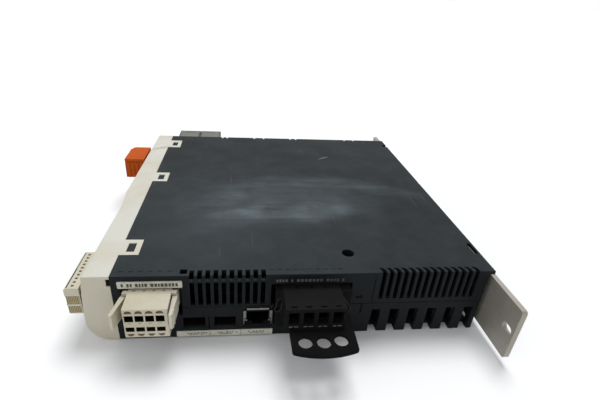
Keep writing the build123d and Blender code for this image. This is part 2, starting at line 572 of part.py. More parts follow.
with BuildPart() as mains_plug:
    block(MAINS_BLOCK_X, (MAINS_FRONT_Y, 16.0), (MAINS_BOTTOM_Z, MAINS_TOP_Z))
    with BuildSketch(SECTION.offset(MAINS_BLOCK_X[0])):
        with BuildLine():
            Polyline(
                (MAINS_FRONT_Y, MAINS_TOP_Z),
                (0, MAINS_REAR_TOP_Z),
                (17.0, MAINS_REAR_TOP_Z),
                (17.0, MAINS_TOP_Z + 1),
                (MAINS_FRONT_Y, MAINS_TOP_Z + 1),
                close=True,
            )
        make_face()
    extrude(amount=MAINS_BLOCK_X[1] - MAINS_BLOCK_X[0], mode=Mode.SUBTRACT)
    fillet(mains_plug.edges().filter_by(Axis.X).group_by(Axis.Y)[0], radius=0.6)
    block(MAINS_BLOCK_X, (-11.0, 16.0), (14.0, MAINS_BOTTOM_Z))
    # side flanges with their latch openings
    block((MAINS_BLOCK_X[0] - 3.6, MAINS_BLOCK_X[0]), (-3.6, 3.0), (10.0, 35.0))
    block((MAINS_BLOCK_X[1], MAINS_BLOCK_X[1] + 6.6), (-3.6, 3.0), (10.0, 35.0))
    with BuildSketch(NEAR.offset(4.6)):
        with Locations(Location((MAINS_BLOCK_X[0] - 1.9, 26.0), -12)):
            SlotOverall(9.0, 2.4, rotation=90)
        with Locations(Location((MAINS_BLOCK_X[1] + 3.2, 26.5), 32)):
            SlotOverall(12.0, 2.2, rotation=90)
    extrude(amount=-4.0, mode=Mode.SUBTRACT)
    cut_row(MAINS_POLES, 5.6, (MAINS_FRONT_Y - 1, -8.0), (28.0, 35.9))
    cut_row(MAINS_POLES, 3.2, (-18.6, -17.4), (MAINS_TOP_Z - 1.4, MAINS_TOP_Z + 1))
    cut_row(MAINS_POLES, 2.2, (4.0, 17.0), (18.0, 22.0))
    cut_row(poles(MAINS_X, MAINS_PITCH, 3), 2.0, (-2.4, 1.0), (MAINS_REAR_TOP_Z - 1.0, MAINS_TOP_Z))
mains_plug.part.label = "mains_plug"
export_step(mains_plug.part, "parts/mains_plug.step")

with BuildPart() as mains_clamps:
    for x in MAINS_POLES:
        block(span(x, 5.4), (-17.0, -8.2), (28.2, 35.6))
    cut_row(MAINS_POLES, 4.4, (-18.0, -8.0), (29.2, 34.8))
mains_clamps.part.label = "mains_plug_clamps"
export_step(mains_clamps.part, "parts/mains_plug_clamps.step")

TAB_HOLES = ((98.9, -29.4), (108.2, -29.7), (117.2, -28.8))
TAB_HOLE_RADIUS = 3.6
STRAIN_TAB_THICK = 1.8
STRAIN_TAB_Z = (MAINS_BOTTOM_Z - STRAIN_TAB_THICK, MAINS_BOTTOM_Z)

with BuildPart() as strain_tab:
    with BuildSketch(FLOOR.offset(STRAIN_TAB_Z[0])):
        with BuildLine():
            Polyline((91.9, -35.6), (91.4, -11.4), (125.4, -11.4), (125.0, -35.4))
            ThreePointArc((91.9, -35.6), (107.8, -38.4), (125.0, -35.4))
        make_face()
        fillet(vertices().group_by(Axis.Y)[:2], radius=1.5)
        with Locations(*TAB_HOLES):
            Circle(TAB_HOLE_RADIUS, mode=Mode.SUBTRACT)
    extrude(amount=STRAIN_TAB_THICK)
    chamfer(strain_tab.faces().sort_by(Axis.Z)[-1].edges(), length=0.3)
strain_tab.part.label = "strain_relief_tab"
export_step(strain_tab.part, "parts/strain_relief_tab.step")

# ---------------------------------------------------------------- low-voltage supply plug
SUPPLY_X_ENDS = span(SUPPLY_X, 22.1)
SUPPLY_Z = (17.6, 35.9)
SUPPLY_FRONT_Y = -15.4
SUPPLY_POLES = poles(SUPPLY_X - 0.5, SUPPLY_PITCH, 4)
SUPPLY_PORT = 4.3
LEVER_Z = (25.0, 34.2)
LEVER_PIVOT_X = (SUPPLY_X_ENDS[0] - 1.5, SUPPLY_X_ENDS[1] + 1.5)

with BuildPart() as supply_header:
    block(grown(SUPPLY_RECESS_X, 0.9), (WALL, 9.0), grown(SUPPLY_RECESS_Z, 0.8))
    block(grown(SUPPLY_X_ENDS, 1.6), (7.0, 17.0), (16.2, 37.1))
    cut(SUPPLY_RECESS_X, (0, 7.5), SUPPLY_RECESS_Z)
    cut(grown(SUPPLY_X_ENDS, GAP), (0, 15.0), grown(SUPPLY_Z, GAP))
supply_header.part.label = "supply_header"
export_step(supply_header.part, "parts/supply_header.step")

with BuildPart() as supply_plug:
    block(SUPPLY_X_ENDS, (SUPPLY_FRONT_Y, 13.0), SUPPLY_Z)
    fillet(supply_plug.edges().filter_by(Axis.Z).group_by(Axis.Y)[0], radius=0.5)
    cut(grown(SUPPLY_X_ENDS, -1.6), (6.0, 14.0), (21.4, 23.8))
    cut(grown(SUPPLY_X_ENDS, -1.6), (6.0, 14.0), (28.8, 31.2))
    cut_row(SUPPLY_POLES, SUPPLY_PORT, (SUPPLY_FRONT_Y - 1, -6.0), (28.0, 32.0))
    cut_row(SUPPLY_POLES, SUPPLY_PORT, (SUPPLY_FRONT_Y - 1, -6.0), (21.4, 24.4))
    # arched release slots above the upper row and below the lower one
    with BuildSketch(NEAR.offset(-SUPPLY_FRONT_Y + 1)):
        with Locations(*[(x, 33.3) for x in SUPPLY_POLES]):
            Circle(1.9)
        with Locations(*[(x, 19.9) for x in SUPPLY_POLES]):
            Circle(1.7)
        with Locations((SUPPLY_X, 26.6)):
            Rectangle(24, 13.4, mode=Mode.SUBTRACT)
    extrude(amount=-2.4, mode=Mode.SUBTRACT)
    # lugs and pivot pins of the two levers
    for pivot, side in zip(LEVER_PIVOT_X, SUPPLY_X_ENDS):
        lug = (min(pivot - 1.2, side), max(pivot + 1.2, side))
        for z in ((LEVER_Z[0] - 1.7, LEVER_Z[0] - 0.2), (LEVER_Z[1] + 0.2, LEVER_Z[1] + 1.7)):
            block(lug, span(LEVER_PIVOT_Y, 2.4), z)
        round_bar(FLOOR, (pivot, LEVER_PIVOT_Y), 0.6, LEVER_Z[0] - 1, LEVER_Z[1] - LEVER_Z[0] + 2)
supply_plug.part.label = "supply_plug"
export_step(supply_plug.part, "parts/supply_plug.step")


def lever(side, pressed):
    """Wedge-shaped latch lever on its pivot; side is -1 or +1, pressed is in degrees from let go."""
    turn = radians(pressed)
    pivot = Vector(LEVER_PIVOT_X[0] if side < 0 else LEVER_PIVOT_X[1], LEVER_PIVOT_Y, 0)
    along = (-side * sin(turn), -cos(turn), 0)
    frame = Plane(CORNER + pivot, x_dir=along, z_dir=(0, 0, side))
    start = LEVER_Z[0] if side > 0 else -LEVER_Z[1]
    with BuildSketch(frame.offset(start)) as outline:
        with BuildLine():
            Polyline(
                (-4.6, 0.7),
                (-0.8, 1.3),
                (2.6, 2.4),
                (15.0, 4.2),
                (15.3, 2.7),
                (0.8, -0.7),
                (-3.2, -0.6),
                (-4.6, -0.1),
                close=True,
            )
        make_face()
        Circle(1.15)
        with Locations((13.6, 3.7), (11.4, 3.4)):
            Circle(0.7)
        Circle(0.68, mode=Mode.SUBTRACT)
    extrude(outline.sketch, amount=LEVER_Z[1] - LEVER_Z[0])


with BuildPart() as left_lever:
    lever(-1, 0)
left_lever.part.label = "supply_lever_left"
export_step(left_lever.part, "parts/supply_lever_left.step")

with BuildPart() as right_lever:
    lever(1, LEVER_SWING)
right_lever.part.label = "supply_lever_right"
export_step(right_lever.part, "parts/supply_lever_right.step")

# ---------------------------------------------------------------- modular jacks and labels
with BuildPart() as pulse_jacks:
    for x in PULSE_JACK_X:
        block(span(x, 14.8), (WALL, 17.0), (CONTROL_BOARD_Z + BOARD_THICK, 16.0))
    cut_row(PULSE_JACK_X, 11.8, (0, 14.0), (7.6, 14.9))
pulse_jacks.part.label = "pulse_jacks"
export_step(pulse_jacks.part, "parts/pulse_jacks.step")

with BuildPart() as encoder_shell:
    sheet = 0.6
    high = ENCODER_JACK_Z[1]
    block(span(ENCODER_JACK_X, ENCODER_JACK_WIDTH), (1.2, 17.5), ENCODER_JACK_Z)
    cut(span(ENCODER_JACK_X, ENCODER_JACK_WIDTH - 2 * sheet), (0, 16.9), grown(ENCODER_JACK_Z, -sheet))
    # rolled lip along the top edge, and one on each side with a shield spring below it
    block(span(ENCODER_JACK_X, 12.4), (-0.7, 1.3), (high - sheet, high))
    block(span(ENCODER_JACK_X, 12.4), (-0.7, -0.2), (high - 1.2, high))
    for side in (-1, 1):
        wall = ENCODER_JACK_X + side * (ENCODER_JACK_WIDTH - sheet) / 2
        lip = ENCODER_JACK_X + side * (ENCODER_JACK_WIDTH / 2 - 0.75)
        block(span(wall, sheet), (-0.7, 1.3), (11.5, 19.3))
        block(span(lip, 1.5), (-0.7, -0.2), (13.9, 19.3))
        block(span(ENCODER_JACK_X + side * 6.8, 1.6), (-0.2, 0.6), (11.5, 12.5))
encoder_shell.part.label = "encoder_jack_shell"
export_step(encoder_shell.part, "parts/encoder_jack_shell.step")

with BuildPart() as encoder_insert:
    block(span(ENCODER_JACK_X, ENCODER_JACK_WIDTH - 2 * sheet), (1.0, 16.9), grown(ENCODER_JACK_Z, -sheet))
    cut(span(ENCODER_JACK_X, 11.8), (0, 14.0), (10.2, 17.2))
    cut(span(ENCODER_JACK_X, 6.2), (0, 14.0), (8.2, 10.4))
encoder_insert.part.label = "encoder_jack_insert"
export_step(encoder_insert.part, "parts/encoder_jack_insert.step")

with BuildPart() as labels:
    with BuildSketch(NEAR):
        with Locations((19.9, 38.8)):
            RectangleRounded(33.0, 4.5, 0.7)
        with Locations((58.2, 3.0)):
            Rectangle(54.0, 4.2)
    extrude(amount=0.4)
labels.part.label = "connector_labels"
export_step(labels.part, "parts/connector_labels.step")

# ---------------------------------------------------------------- plugs on the lower face
BUS_OUTER_WIDTH = 19.9
BUS_OUTER_Z = (24.0, 41.8)
BUS_FAR_Y = HEIGHT + 22.8

with BuildPart() as bus_headers:
    for x in BUS_PLUGS_X:
        block(span(x, BUS_INNER_WIDTH + 2.8), (200.0, HEIGHT - WALL), grown(BUS_INNER_Z, 1.4))
    cut_row(BUS_PLUGS_X, BUS_INNER_WIDTH + 2 * GAP, (203.0, HEIGHT), grown(BUS_INNER_Z, GAP))
bus_headers.part.label = "bus_headers"
export_step(bus_headers.part, "parts/bus_headers.step")

for label, x in (("resistor_plug", BUS_PLUGS_X[0]), ("dc_bus_plug", BUS_PLUGS_X[1])):
    with BuildPart() as bus_plug:
        block(span(x, BUS_OUTER_WIDTH), (HEIGHT + GAP, BUS_FAR_Y), BUS_OUTER_Z)
        block(span(x, BUS_INNER_WIDTH), (205.0, HEIGHT + 1), BUS_INNER_Z)
        cut(span(x, BUS_OUTER_WIDTH - 2.4), (HEIGHT + 1.6, BUS_FAR_Y - 1.4), (BUS_OUTER_Z[1] - 0.8, 45))
        cut(span(x, BUS_INNER_WIDTH - 4), (204.0, 213.0), (30.6, 34.4))
        cut_row(poles(x, MAINS_PITCH, 2), 5.4, (BUS_FAR_Y - 10, BUS_FAR_Y + 1), (27.0, 33.0))
        cut_row(poles(x, MAINS_PITCH, 2), 3.0, (BUS_FAR_Y - 4, BUS_FAR_Y + 1), (35.4, 38.2))
    bus_plug.part.label = label
    export_step(bus_plug.part, f"parts/{label}.step")

for label, x in (("resistor_plug_lid", BUS_PLUGS_X[0]), ("dc_bus_plug_lid", BUS_PLUGS_X[1])):
    with BuildPart() as lid:
        block(span(x, BUS_OUTER_WIDTH - 2.5), (HEIGHT + 1.65, BUS_FAR_Y - 1.45),
              (BUS_OUTER_Z[1] - 0.8, BUS_OUTER_Z[1]))
        cut(span(x, 9.0), (BUS_FAR_Y - 5.0, BUS_FAR_Y - 4.2), (BUS_OUTER_Z[1] - 0.4, 45))
    lid.part.label = label
    export_step(lid.part, f"parts/{label}.step")

with BuildPart() as motor_header:
    block(grown(MOTOR_X, 1.5), (200.0, HEIGHT - WALL), grown(FAR_SOCKET_Z, 1.5))
    cut(MOTOR_X, (203.0, HEIGHT), FAR_SOCKET_Z)
    for x in poles((MOTOR_X[0] + MOTOR_X[1]) / 2, MAINS_PITCH * 1.25, 3):
        block(span(x, 0.8), (202.0, 209.0), (FAR_SOCKET_Z[0], FAR_SOCKET_Z[0] + 4.5))
motor_header.part.label = "motor_header"
export_step(motor_header.part, "parts/motor_header.step")

with BuildPart() as brake_header:
    block(grown(BRAKE_X, 1.5), (200.0, HEIGHT - WALL), grown(FAR_SOCKET_Z, 1.5))
    cut(BRAKE_X, (203.0, HEIGHT), FAR_SOCKET_Z)
brake_header.part.label = "brake_header"
export_step(brake_header.part, "parts/brake_header.step")

with BuildPart() as pins:
    for x in MAINS_POLES:
        block(span(x, 1.2), (6.0, 18.0), (18.6, 21.4))
    for x in SUPPLY_POLES:
        for z in (22.6, 30.0):
            block(span(x, 1.0), (7.5, 15.0), span(z, 1.0))
    for y in IO_POLES_Y:
        if IO_INNER_Y[0] + 1.5 < y < IO_INNER_Y[1] - 1.5:
            for z in (26.0, 32.0):
                block((-8.0, -1.5), span(y, 0.8), span(z, 0.8))
    for y in poles((SAFETY_Y[0] + SAFETY_Y[1]) / 2, 3.5, 6):
        for z in (29.2, 35.8):
            block((-8.0, -1.5), span(y, 0.8), span(z, 0.8))
    for middle in BUS_PLUGS_X:
        for x in poles(middle, MAINS_PITCH, 2):
            block(span(x, 1.2), (203.0, 211.5), (31.2, 33.8))
    for x in poles((MOTOR_X[0] + MOTOR_X[1]) / 2, MAINS_PITCH * 1.25, 4):
        block(span(x, 1.2), (203.0, 210.5), (30.6, 33.4))
    for x in poles((BRAKE_X[0] + BRAKE_X[1]) / 2, MAINS_PITCH, 2):
        block(span(x, 1.2), (203.0, 210.5), (30.6, 33.4))
pins.part.label = "contact_pins"
export_step(pins.part, "parts/contact_pins.step")

# ---------------------------------------------------------------- heat sink and rear plate
FIN_PITCH = OUTLET_PITCH / 2
FIN_THICK = 1.3
FINS = 11
SINK_X = (141.0, BACK_X)
SINK_Y = (6.5, 188.0)
SINK_BASE_Z = (OUTLET_TOP, 21.5)
PLATE_SCREWS = ((30.0, 12.0), (30.0, 32.0), (185.0, 12.0), (185.0, 32.0))

with BuildPart() as sink:
    block(SINK_X, SINK_Y, SINK_BASE_Z)
    for i in range(FINS):
        x = OUTLET_X + OUTLET_WIDTH / 2 + FIN_PITCH * i
        block(span(x, FIN_THICK), SINK_Y, (WALL + 0.6, OUTLET_TOP))
    block((BACK_X, CASE_DEPTH), (6.0, 209.0), (4.0, 40.0))
    for y, z in PLATE_SCREWS:
        round_bar(SECTION, (y, z), 1.7, BACK_X - 1, 6, Mode.SUBTRACT)
sink.part.label = "heat_sink"
export_step(sink.part, "parts/heat_sink.step")

with BuildPart() as plate:
    with BuildSketch(SECTION.offset(CASE_DEPTH)):
        with Locations((HEIGHT / 2, WIDTH / 2)):
            RectangleRounded(PLATE_LENGTH, PLATE_WIDTH, 2.0)
        for end in (-1, 1):
            with Locations((HEIGHT / 2 + end * FIXING_SPACING / 2, WIDTH / 2)):
                SlotOverall(FIXING_SLOT_LENGTH, FIXING_SLOT, mode=Mode.SUBTRACT)
        with Locations((228.0, 10.5), (228.0, 33.5)):
            Circle(2.2, mode=Mode.SUBTRACT)
    extrude(amount=PLATE_THICK)
    for y, z in PLATE_SCREWS:
        with Locations(Plane(CORNER + Vector(CASE_DEPTH + PLATE_THICK, y, z), z_dir=(1, 0, 0))):
            CounterSinkHole(radius=1.8, counter_sink_radius=3.2)
plate.part.label = "rear_plate"
export_step(plate.part, "parts/rear_plate.step")

with BuildPart() as plate_screws:
    back = CASE_DEPTH + PLATE_THICK
    for y, z in PLATE_SCREWS:
        with BuildSketch(Plane(CORNER + Vector(back, y, z), x_dir=(0, 1, 0), z_dir=(0, 0, 1))):
            with BuildLine():
                Polyline((0, 0), (3.05, 0), (1.6, 1.5), (1.6, 6.4), (0, 6.4), close=True)
            make_face()
        revolve(axis=Axis(CORNER + Vector(back, y, z), (1, 0, 0)))
        cut((back - 0.9, back + 1), span(y, 3.2), span(z, 0.7))
plate_screws.part.label = "plate_screws"
export_step(plate_screws.part, "parts/plate_screws.step")

with BuildPart() as earth_screws:
    for z in (10.5, 33.5):
        round_bar(SECTION, (228.0, z), 4.6, CASE_DEPTH - 0.8, 0.8)
        round_bar(SECTION, (228.0, z), 4.0, CASE_DEPTH - 3.8, 3.0)
        round_bar(SECTION, (228.0, z), 2.1, CASE_DEPTH, PLATE_THICK - 0.2)
        cut((CASE_DEPTH - 5, CASE_DEPTH - 2.6), span(228.0, 5.0), span(z, 0.9))
        cut((CASE_DEPTH - 5, CASE_DEPTH - 2.6), span(228.0, 0.9), span(z, 5.0))
earth_screws.part.label = "earth_screws"
export_step(earth_screws.part, "parts/earth_screws.step")

# ---------------------------------------------------------------- fan
HUB_RADIUS = 10.6
FAN_AXIS = (FAN_X, FAN_Z)

with BuildPart() as fan_frame:
    block(span(FAN_X, FAN_SIZE), FAN_Y, span(FAN_Z, FAN_SIZE))
    fillet(fan_frame.edges().filter_by(Axis.Y), radius=2.5)
    round_bar(NEAR, FAN_AXIS, FAN_BORE, -FAN_Y[1] - 1, 22, Mode.SUBTRACT)
    round_bar(NEAR, FAN_AXIS, 10.0, -FAN_Y[1], 2.6)
    for angle in (90, 210, 330):
        with BuildSketch(NEAR.offset(-FAN_Y[1])):
            with Locations(FAN_AXIS):
                arm = (14.5 * cos(radians(angle)), 14.5 * sin(radians(angle)))
                with Locations(Location(arm, angle)):
                    Rectangle(11.0, 2.4)
        extrude(amount=2.6)
    for x in poles(FAN_X, 32.0, 2):
        for z in poles(FAN_Z, 32.0, 2):
            round_bar(NEAR, (x, z), 2.15, -FAN_Y[1] - 1, 22, Mode.SUBTRACT)
    round_bar(NEAR, FAN_AXIS, 1.05, -FAN_Y[1] - 1, 8, Mode.SUBTRACT)
fan_frame.part.label = "fan_frame"
export_step(fan_frame.part, "parts/fan_frame.step")

with BuildPart() as fan_rotor:
    for i in range(BLADES):
        angle = radians(360 / BLADES * i)
        outward = Vector(cos(angle), 0, sin(angle))
        with BuildSketch(Plane(CORNER + Vector(FAN_X, 199.2, FAN_Z), x_dir=(0, 1, 0),
                               z_dir=(outward.X, 0, outward.Z)).offset(HUB_RADIUS - 1)):
            with BuildLine():
                ThreePointArc((-6.4, -4.6), (0.6, -0.7), (6.4, 4.6))
                Line((6.4, 4.6), (6.4, 5.8))
                ThreePointArc((6.4, 5.8), (-0.4, 0.9), (-6.4, -3.4))
                Line((-6.4, -3.4), (-6.4, -4.6))
            make_face()
        extrude(amount=10.0)
    with BuildSketch(NEAR.offset(-206.4)):
        with Locations(FAN_AXIS):
            Circle(FAN_BORE - 0.7)
    extrude(amount=14.0, mode=Mode.INTERSECT)
    round_bar(NEAR, FAN_AXIS, HUB_RADIUS, -206.4, 14.6)
    fillet(fan_rotor.faces().sort_by(Axis.Y)[0].edges(), radius=0.6)
    round_bar(NEAR, FAN_AXIS, 1.0, -210.3, 5.0)
fan_rotor.part.label = "fan_rotor"
export_step(fan_rotor.part, "parts/fan_rotor.step")

# ---------------------------------------------------------------- boards and power parts
with BuildPart() as control_board:
    block((3.2, 83.0), (3.0, 110.0), (CONTROL_BOARD_Z, CONTROL_BOARD_Z + BOARD_THICK))
control_board.part.label = "control_board"
export_step(control_board.part, "parts/control_board.step")

POWER_BOARD_TOP = POWER_BOARD_Z + BOARD_THICK
CAPACITOR_RADIUS = 11.0

with BuildPart() as power_board:
    block((88.0, 205.0), (24.2, 186.0), (POWER_BOARD_Z, POWER_BOARD_TOP))
power_board.part.label = "power_board"
export_step(power_board.part, "parts/power_board.step")

with BuildPart() as standoffs:
    for x, y in ((95.0, 28.5), (136.0, 28.5), (95.0, 181.0), (136.0, 181.0)):
        round_bar(FLOOR, (x, y), 3.0, WALL, POWER_BOARD_Z - WALL)
    for x, y in ((7.0, 22.0), (79.0, 22.0), (7.0, 106.0), (79.0, 106.0)):
        round_bar(FLOOR, (x, y), 2.8, WALL, CONTROL_BOARD_Z - WALL)
standoffs.part.label = "board_standoffs"
export_step(standoffs.part, "parts/board_standoffs.step")

with BuildPart() as power_module:
    block((150.0, 195.0), (60.0, 110.0), (SINK_BASE_Z[1], POWER_BOARD_Z))
power_module.part.label = "power_module"
export_step(power_module.part, "parts/power_module.step")

with BuildPart() as capacitors:
    for x in (101.0, 125.0):
        for y in (36.0, 84.0, 132.0):
            round_bar(NEAR, (x, 15.0), CAPACITOR_RADIUS, -y - 44.0, 44.0)
    fillet(capacitors.edges().filter_by(GeomType.CIRCLE), radius=1.2)
capacitors.part.label = "bus_capacitors"
export_step(capacitors.part, "parts/bus_capacitors.step")

with BuildPart() as choke:
    with BuildSketch(FLOOR.offset(POWER_BOARD_TOP)):
        with Locations((112.0, 44.0)):
            Circle(14.0)
            Circle(6.5, mode=Mode.SUBTRACT)
    extrude(amount=11.0)
    fillet(choke.edges().filter_by(GeomType.CIRCLE), radius=2.5)
choke.part.label = "filter_choke"
export_step(choke.part, "parts/filter_choke.step")

with BuildPart() as film_capacitors:
    for x in (138.0, 150.0, 162.0):
        block(span(x, 9.0), (34.0, 60.0), (POWER_BOARD_TOP, 41.0))
    fillet(film_capacitors.edges().filter_by(Axis.Z), radius=1.0)
film_capacitors.part.label = "film_capacitors"
export_step(film_capacitors.part, "parts/film_capacitors.step")

with BuildPart() as relays:
    for y in (80.0, 104.0):
        block((96.0, 116.0), span(y, 15.0), (POWER_BOARD_TOP, 41.0))
    chamfer(relays.edges().filter_by(Axis.Z), length=0.8)
relays.part.label = "charging_relays"
export_step(relays.part, "parts/charging_relays.step")

with BuildPart() as transformer:
    block((128.0, 152.0), (120.0, 146.0), (POWER_BOARD_TOP, 31.2))
    block((131.0, 149.0), (123.0, 143.0), (31.2, 38.6))
    block((128.0, 152.0), (120.0, 146.0), (38.6, 41.0))
transformer.part.label = "supply_transformer"
export_step(transformer.part, "parts/supply_transformer.step")

with BuildPart() as brake_resistor:
    block((46.0, 84.0), (125.0, 185.0), (2.4, 14.0))
    cut_column(poles(155.0, 8.0, 7), 2.0, (45.0, 85.0), (10.0, 15.0))
brake_resistor.part.label = "braking_resistor"
export_step(brake_resistor.part, "parts/braking_resistor.step")
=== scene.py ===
import json
import math
import random

import bmesh
import bpy
from mathutils import Matrix, Vector


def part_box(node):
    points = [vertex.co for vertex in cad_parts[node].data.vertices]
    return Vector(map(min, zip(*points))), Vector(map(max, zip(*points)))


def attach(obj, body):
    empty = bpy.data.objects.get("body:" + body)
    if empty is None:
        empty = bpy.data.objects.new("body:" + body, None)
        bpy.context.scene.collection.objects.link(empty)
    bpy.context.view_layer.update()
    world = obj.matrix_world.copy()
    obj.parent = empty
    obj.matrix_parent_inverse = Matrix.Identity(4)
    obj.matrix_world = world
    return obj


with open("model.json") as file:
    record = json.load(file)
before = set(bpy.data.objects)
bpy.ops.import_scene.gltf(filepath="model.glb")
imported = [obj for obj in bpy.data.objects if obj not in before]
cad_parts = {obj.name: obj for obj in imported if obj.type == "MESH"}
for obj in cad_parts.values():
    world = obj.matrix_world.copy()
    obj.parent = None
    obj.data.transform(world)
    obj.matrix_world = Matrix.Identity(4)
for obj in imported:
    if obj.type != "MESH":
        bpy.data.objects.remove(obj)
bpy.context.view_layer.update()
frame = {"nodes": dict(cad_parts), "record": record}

MM = 0.001
CORNER_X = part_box("housing_cover")[0].x     # seam between bezel and case
CORNER_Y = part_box("housing_tray")[0].y      # upper connector face
CASE_TOP = 0.044                            # upper panel's height above the floor, in metres
random.seed(11)


def at(x, y, z):
    """Point in metres from millimetres behind the seam, beyond the connector face and above the floor."""
    return Vector((CORNER_X + x * MM, CORNER_Y + y * MM, z * MM))


# ------------------------------------------------------------------ shaders
class Shader:
    """A material and short calls that add procedural nodes to it."""

    def __init__(self, name):
        self.material = bpy.data.materials.new(name)
        self.material.use_nodes = True
        self.nodes = self.material.node_tree.nodes
        self.links = self.material.node_tree.links
        self.bsdf = self.nodes["Principled BSDF"]
        self.place = self.add("ShaderNodeTexCoord").outputs["Object"]

    def add(self, kind, **settings):
        node = self.nodes.new(kind)
        for key, value in settings.items():
            setattr(node, key, value)
        return node

    def feed(self, socket, value):
        if isinstance(value, bpy.types.NodeSocket):
            self.links.new(value, socket)
        elif isinstance(value, (tuple, list)) and len(value) == 3 and socket.type == "RGBA":
            socket.default_value = (*value, 1.0)
        else:
            socket.default_value = value

    def mapped(self, scale, turn=0.0):
        """Object coordinates stretched along their axes and turned about Z."""
        node = self.add("ShaderNodeMapping")
        self.feed(node.inputs["Vector"], self.place)
        node.inputs["Rotation"].default_value = (0, 0, turn)
        node.inputs["Scale"].default_value = scale
        return node.outputs[0]

    def noise(self, scale, detail=3.0, rough=0.55, where=None, warp=0.0):
        node = self.add("ShaderNodeTexNoise")
        self.feed(node.inputs["Vector"], where or self.place)
        node.inputs["Scale"].default_value = scale
        node.inputs["Detail"].default_value = detail
        node.inputs["Roughness"].default_value = rough
        node.inputs["Distortion"].default_value = warp
        return node.outputs[0]

    def cells(self, scale):
        node = self.add("ShaderNodeTexVoronoi")
        self.feed(node.inputs["Vector"], self.place)
        node.inputs["Scale"].default_value = scale
        return node.outputs["Distance"]

    def span(self, value, low, high, start=0.0, end=1.0):
        """Value between low and high made to run from start to end."""
        node = self.add("ShaderNodeMapRange")
        self.feed(node.inputs["Value"], value)
        for key, number in zip(("From Min", "From Max", "To Min", "To Max"), (low, high, start, end)):
            node.inputs[key].default_value = number
        return node.outputs[0]

    def math(self, operation, a, b=0.0):
        node = self.add("ShaderNodeMath", operation=operation)
        self.feed(node.inputs[0], a)
        self.feed(node.inputs[1], b)
        return node.outputs[0]

    def mix(self, amount, a, b):
        """Colour a, going over to colour b; the node keeps its colour sockets behind the others."""
        factor, first, second, result = 0, 6, 7, 2
        node = self.add("ShaderNodeMix", data_type="RGBA")
        self.feed(node.inputs[factor], amount)
        self.feed(node.inputs[first], a)
        self.feed(node.inputs[second], b)
        return node.outputs[result]

    def facing(self, letter):
        """Component of the surface normal, in the object's own axes."""
        node = self.add("ShaderNodeSeparateXYZ")
        self.feed(node.inputs[0], self.add("ShaderNodeTexCoord").outputs["Normal"])
        return node.outputs["XYZ".index(letter)]

    def warped(self, amount, scale):
        """Object coordinates pushed about by noise, for soft irregular outlines."""
        noise = self.add("ShaderNodeTexNoise")
        self.feed(noise.inputs["Vector"], self.place)
        noise.inputs["Scale"].default_value = scale
        push = self.add("ShaderNodeVectorMath", operation="MULTIPLY_ADD")
        self.feed(push.inputs[0], noise.outputs["Color"])
        push.inputs[1].default_value = (amount, amount, amount)
        self.feed(push.inputs[2], self.place)
        shift = self.add("ShaderNodeVectorMath", operation="SUBTRACT")
        self.feed(shift.inputs[0], push.outputs[0])
        shift.inputs[1].default_value = (amount / 2, amount / 2, amount / 2)
        return shift.outputs[0]

    def ball(self, centre, radii, turn=0.0, where=None):
        """1 in the middle of an ellipsoid turned about Z in degrees, falling to 0 at its surface."""
        node = self.add("ShaderNodeMapping", vector_type="TEXTURE")
        self.feed(node.inputs["Vector"], where or self.place)
        node.inputs["Location"].default_value = centre
        node.inputs["Rotation"].default_value = (0, 0, math.radians(turn))
        node.inputs["Scale"].default_value = radii
        fall = self.add("ShaderNodeTexGradient", gradient_type="SPHERICAL")
        self.feed(fall.inputs[0], node.outputs[0])
        return fall.outputs["Fac"]

    def edges(self, radius):
        """Mask of the convex and concave edges, from how far a bevel turns the normal."""
        bevel = self.add("ShaderNodeBevel", samples=4)
        bevel.inputs["Radius"].default_value = radius
        flat = self.add("ShaderNodeNewGeometry").outputs["Normal"]
        dot = self.add("ShaderNodeVectorMath", operation="DOT_PRODUCT")
        self.feed(dot.inputs[0], bevel.outputs[0])
        self.feed(dot.inputs[1], flat)
        return self.span(self.math("SUBTRACT", 1.0, dot.outputs["Value"]), 0.01, 0.18)

    def nook_shade_mask(self, distance):
        """Mask for painted shade: 1 in the open, falling towards 0 in corners narrower than the distance.
        """
        node = self.add("ShaderNodeAmbientOcclusion", samples=4)
        node.inputs["Distance"].default_value = distance
        return node.outputs["AO"]

    def relief(self, height, strength, depth, rounding=0.0):
        """Bump from a height, over edges rounded by a small bevel."""
        bump = self.add("ShaderNodeBump")
        bump.inputs["Strength"].default_value = strength
        bump.inputs["Distance"].default_value = depth
        self.feed(bump.inputs["Height"], height)
        if rounding:
            bevel = self.add("ShaderNodeBevel", samples=4)
            bevel.inputs["Radius"].default_value = rounding
            self.feed(bump.inputs["Normal"], bevel.outputs[0])
        self.feed(self.bsdf.inputs["Normal"], bump.outputs[0])

    def finish(self, colour, roughness, specular=0.5, metallic=0.0):
        """The material, with these going into its surface shader."""
        self.feed(self.bsdf.inputs["Base Color"], colour)
        self.feed(self.bsdf.inputs["Roughness"], roughness)
        self.bsdf.inputs["Specular IOR Level"].default_value = specular
        self.bsdf.inputs["Metallic"].default_value = metallic
        return self.material


def scaled(colour, factor):
    return tuple(c * factor for c in colour)


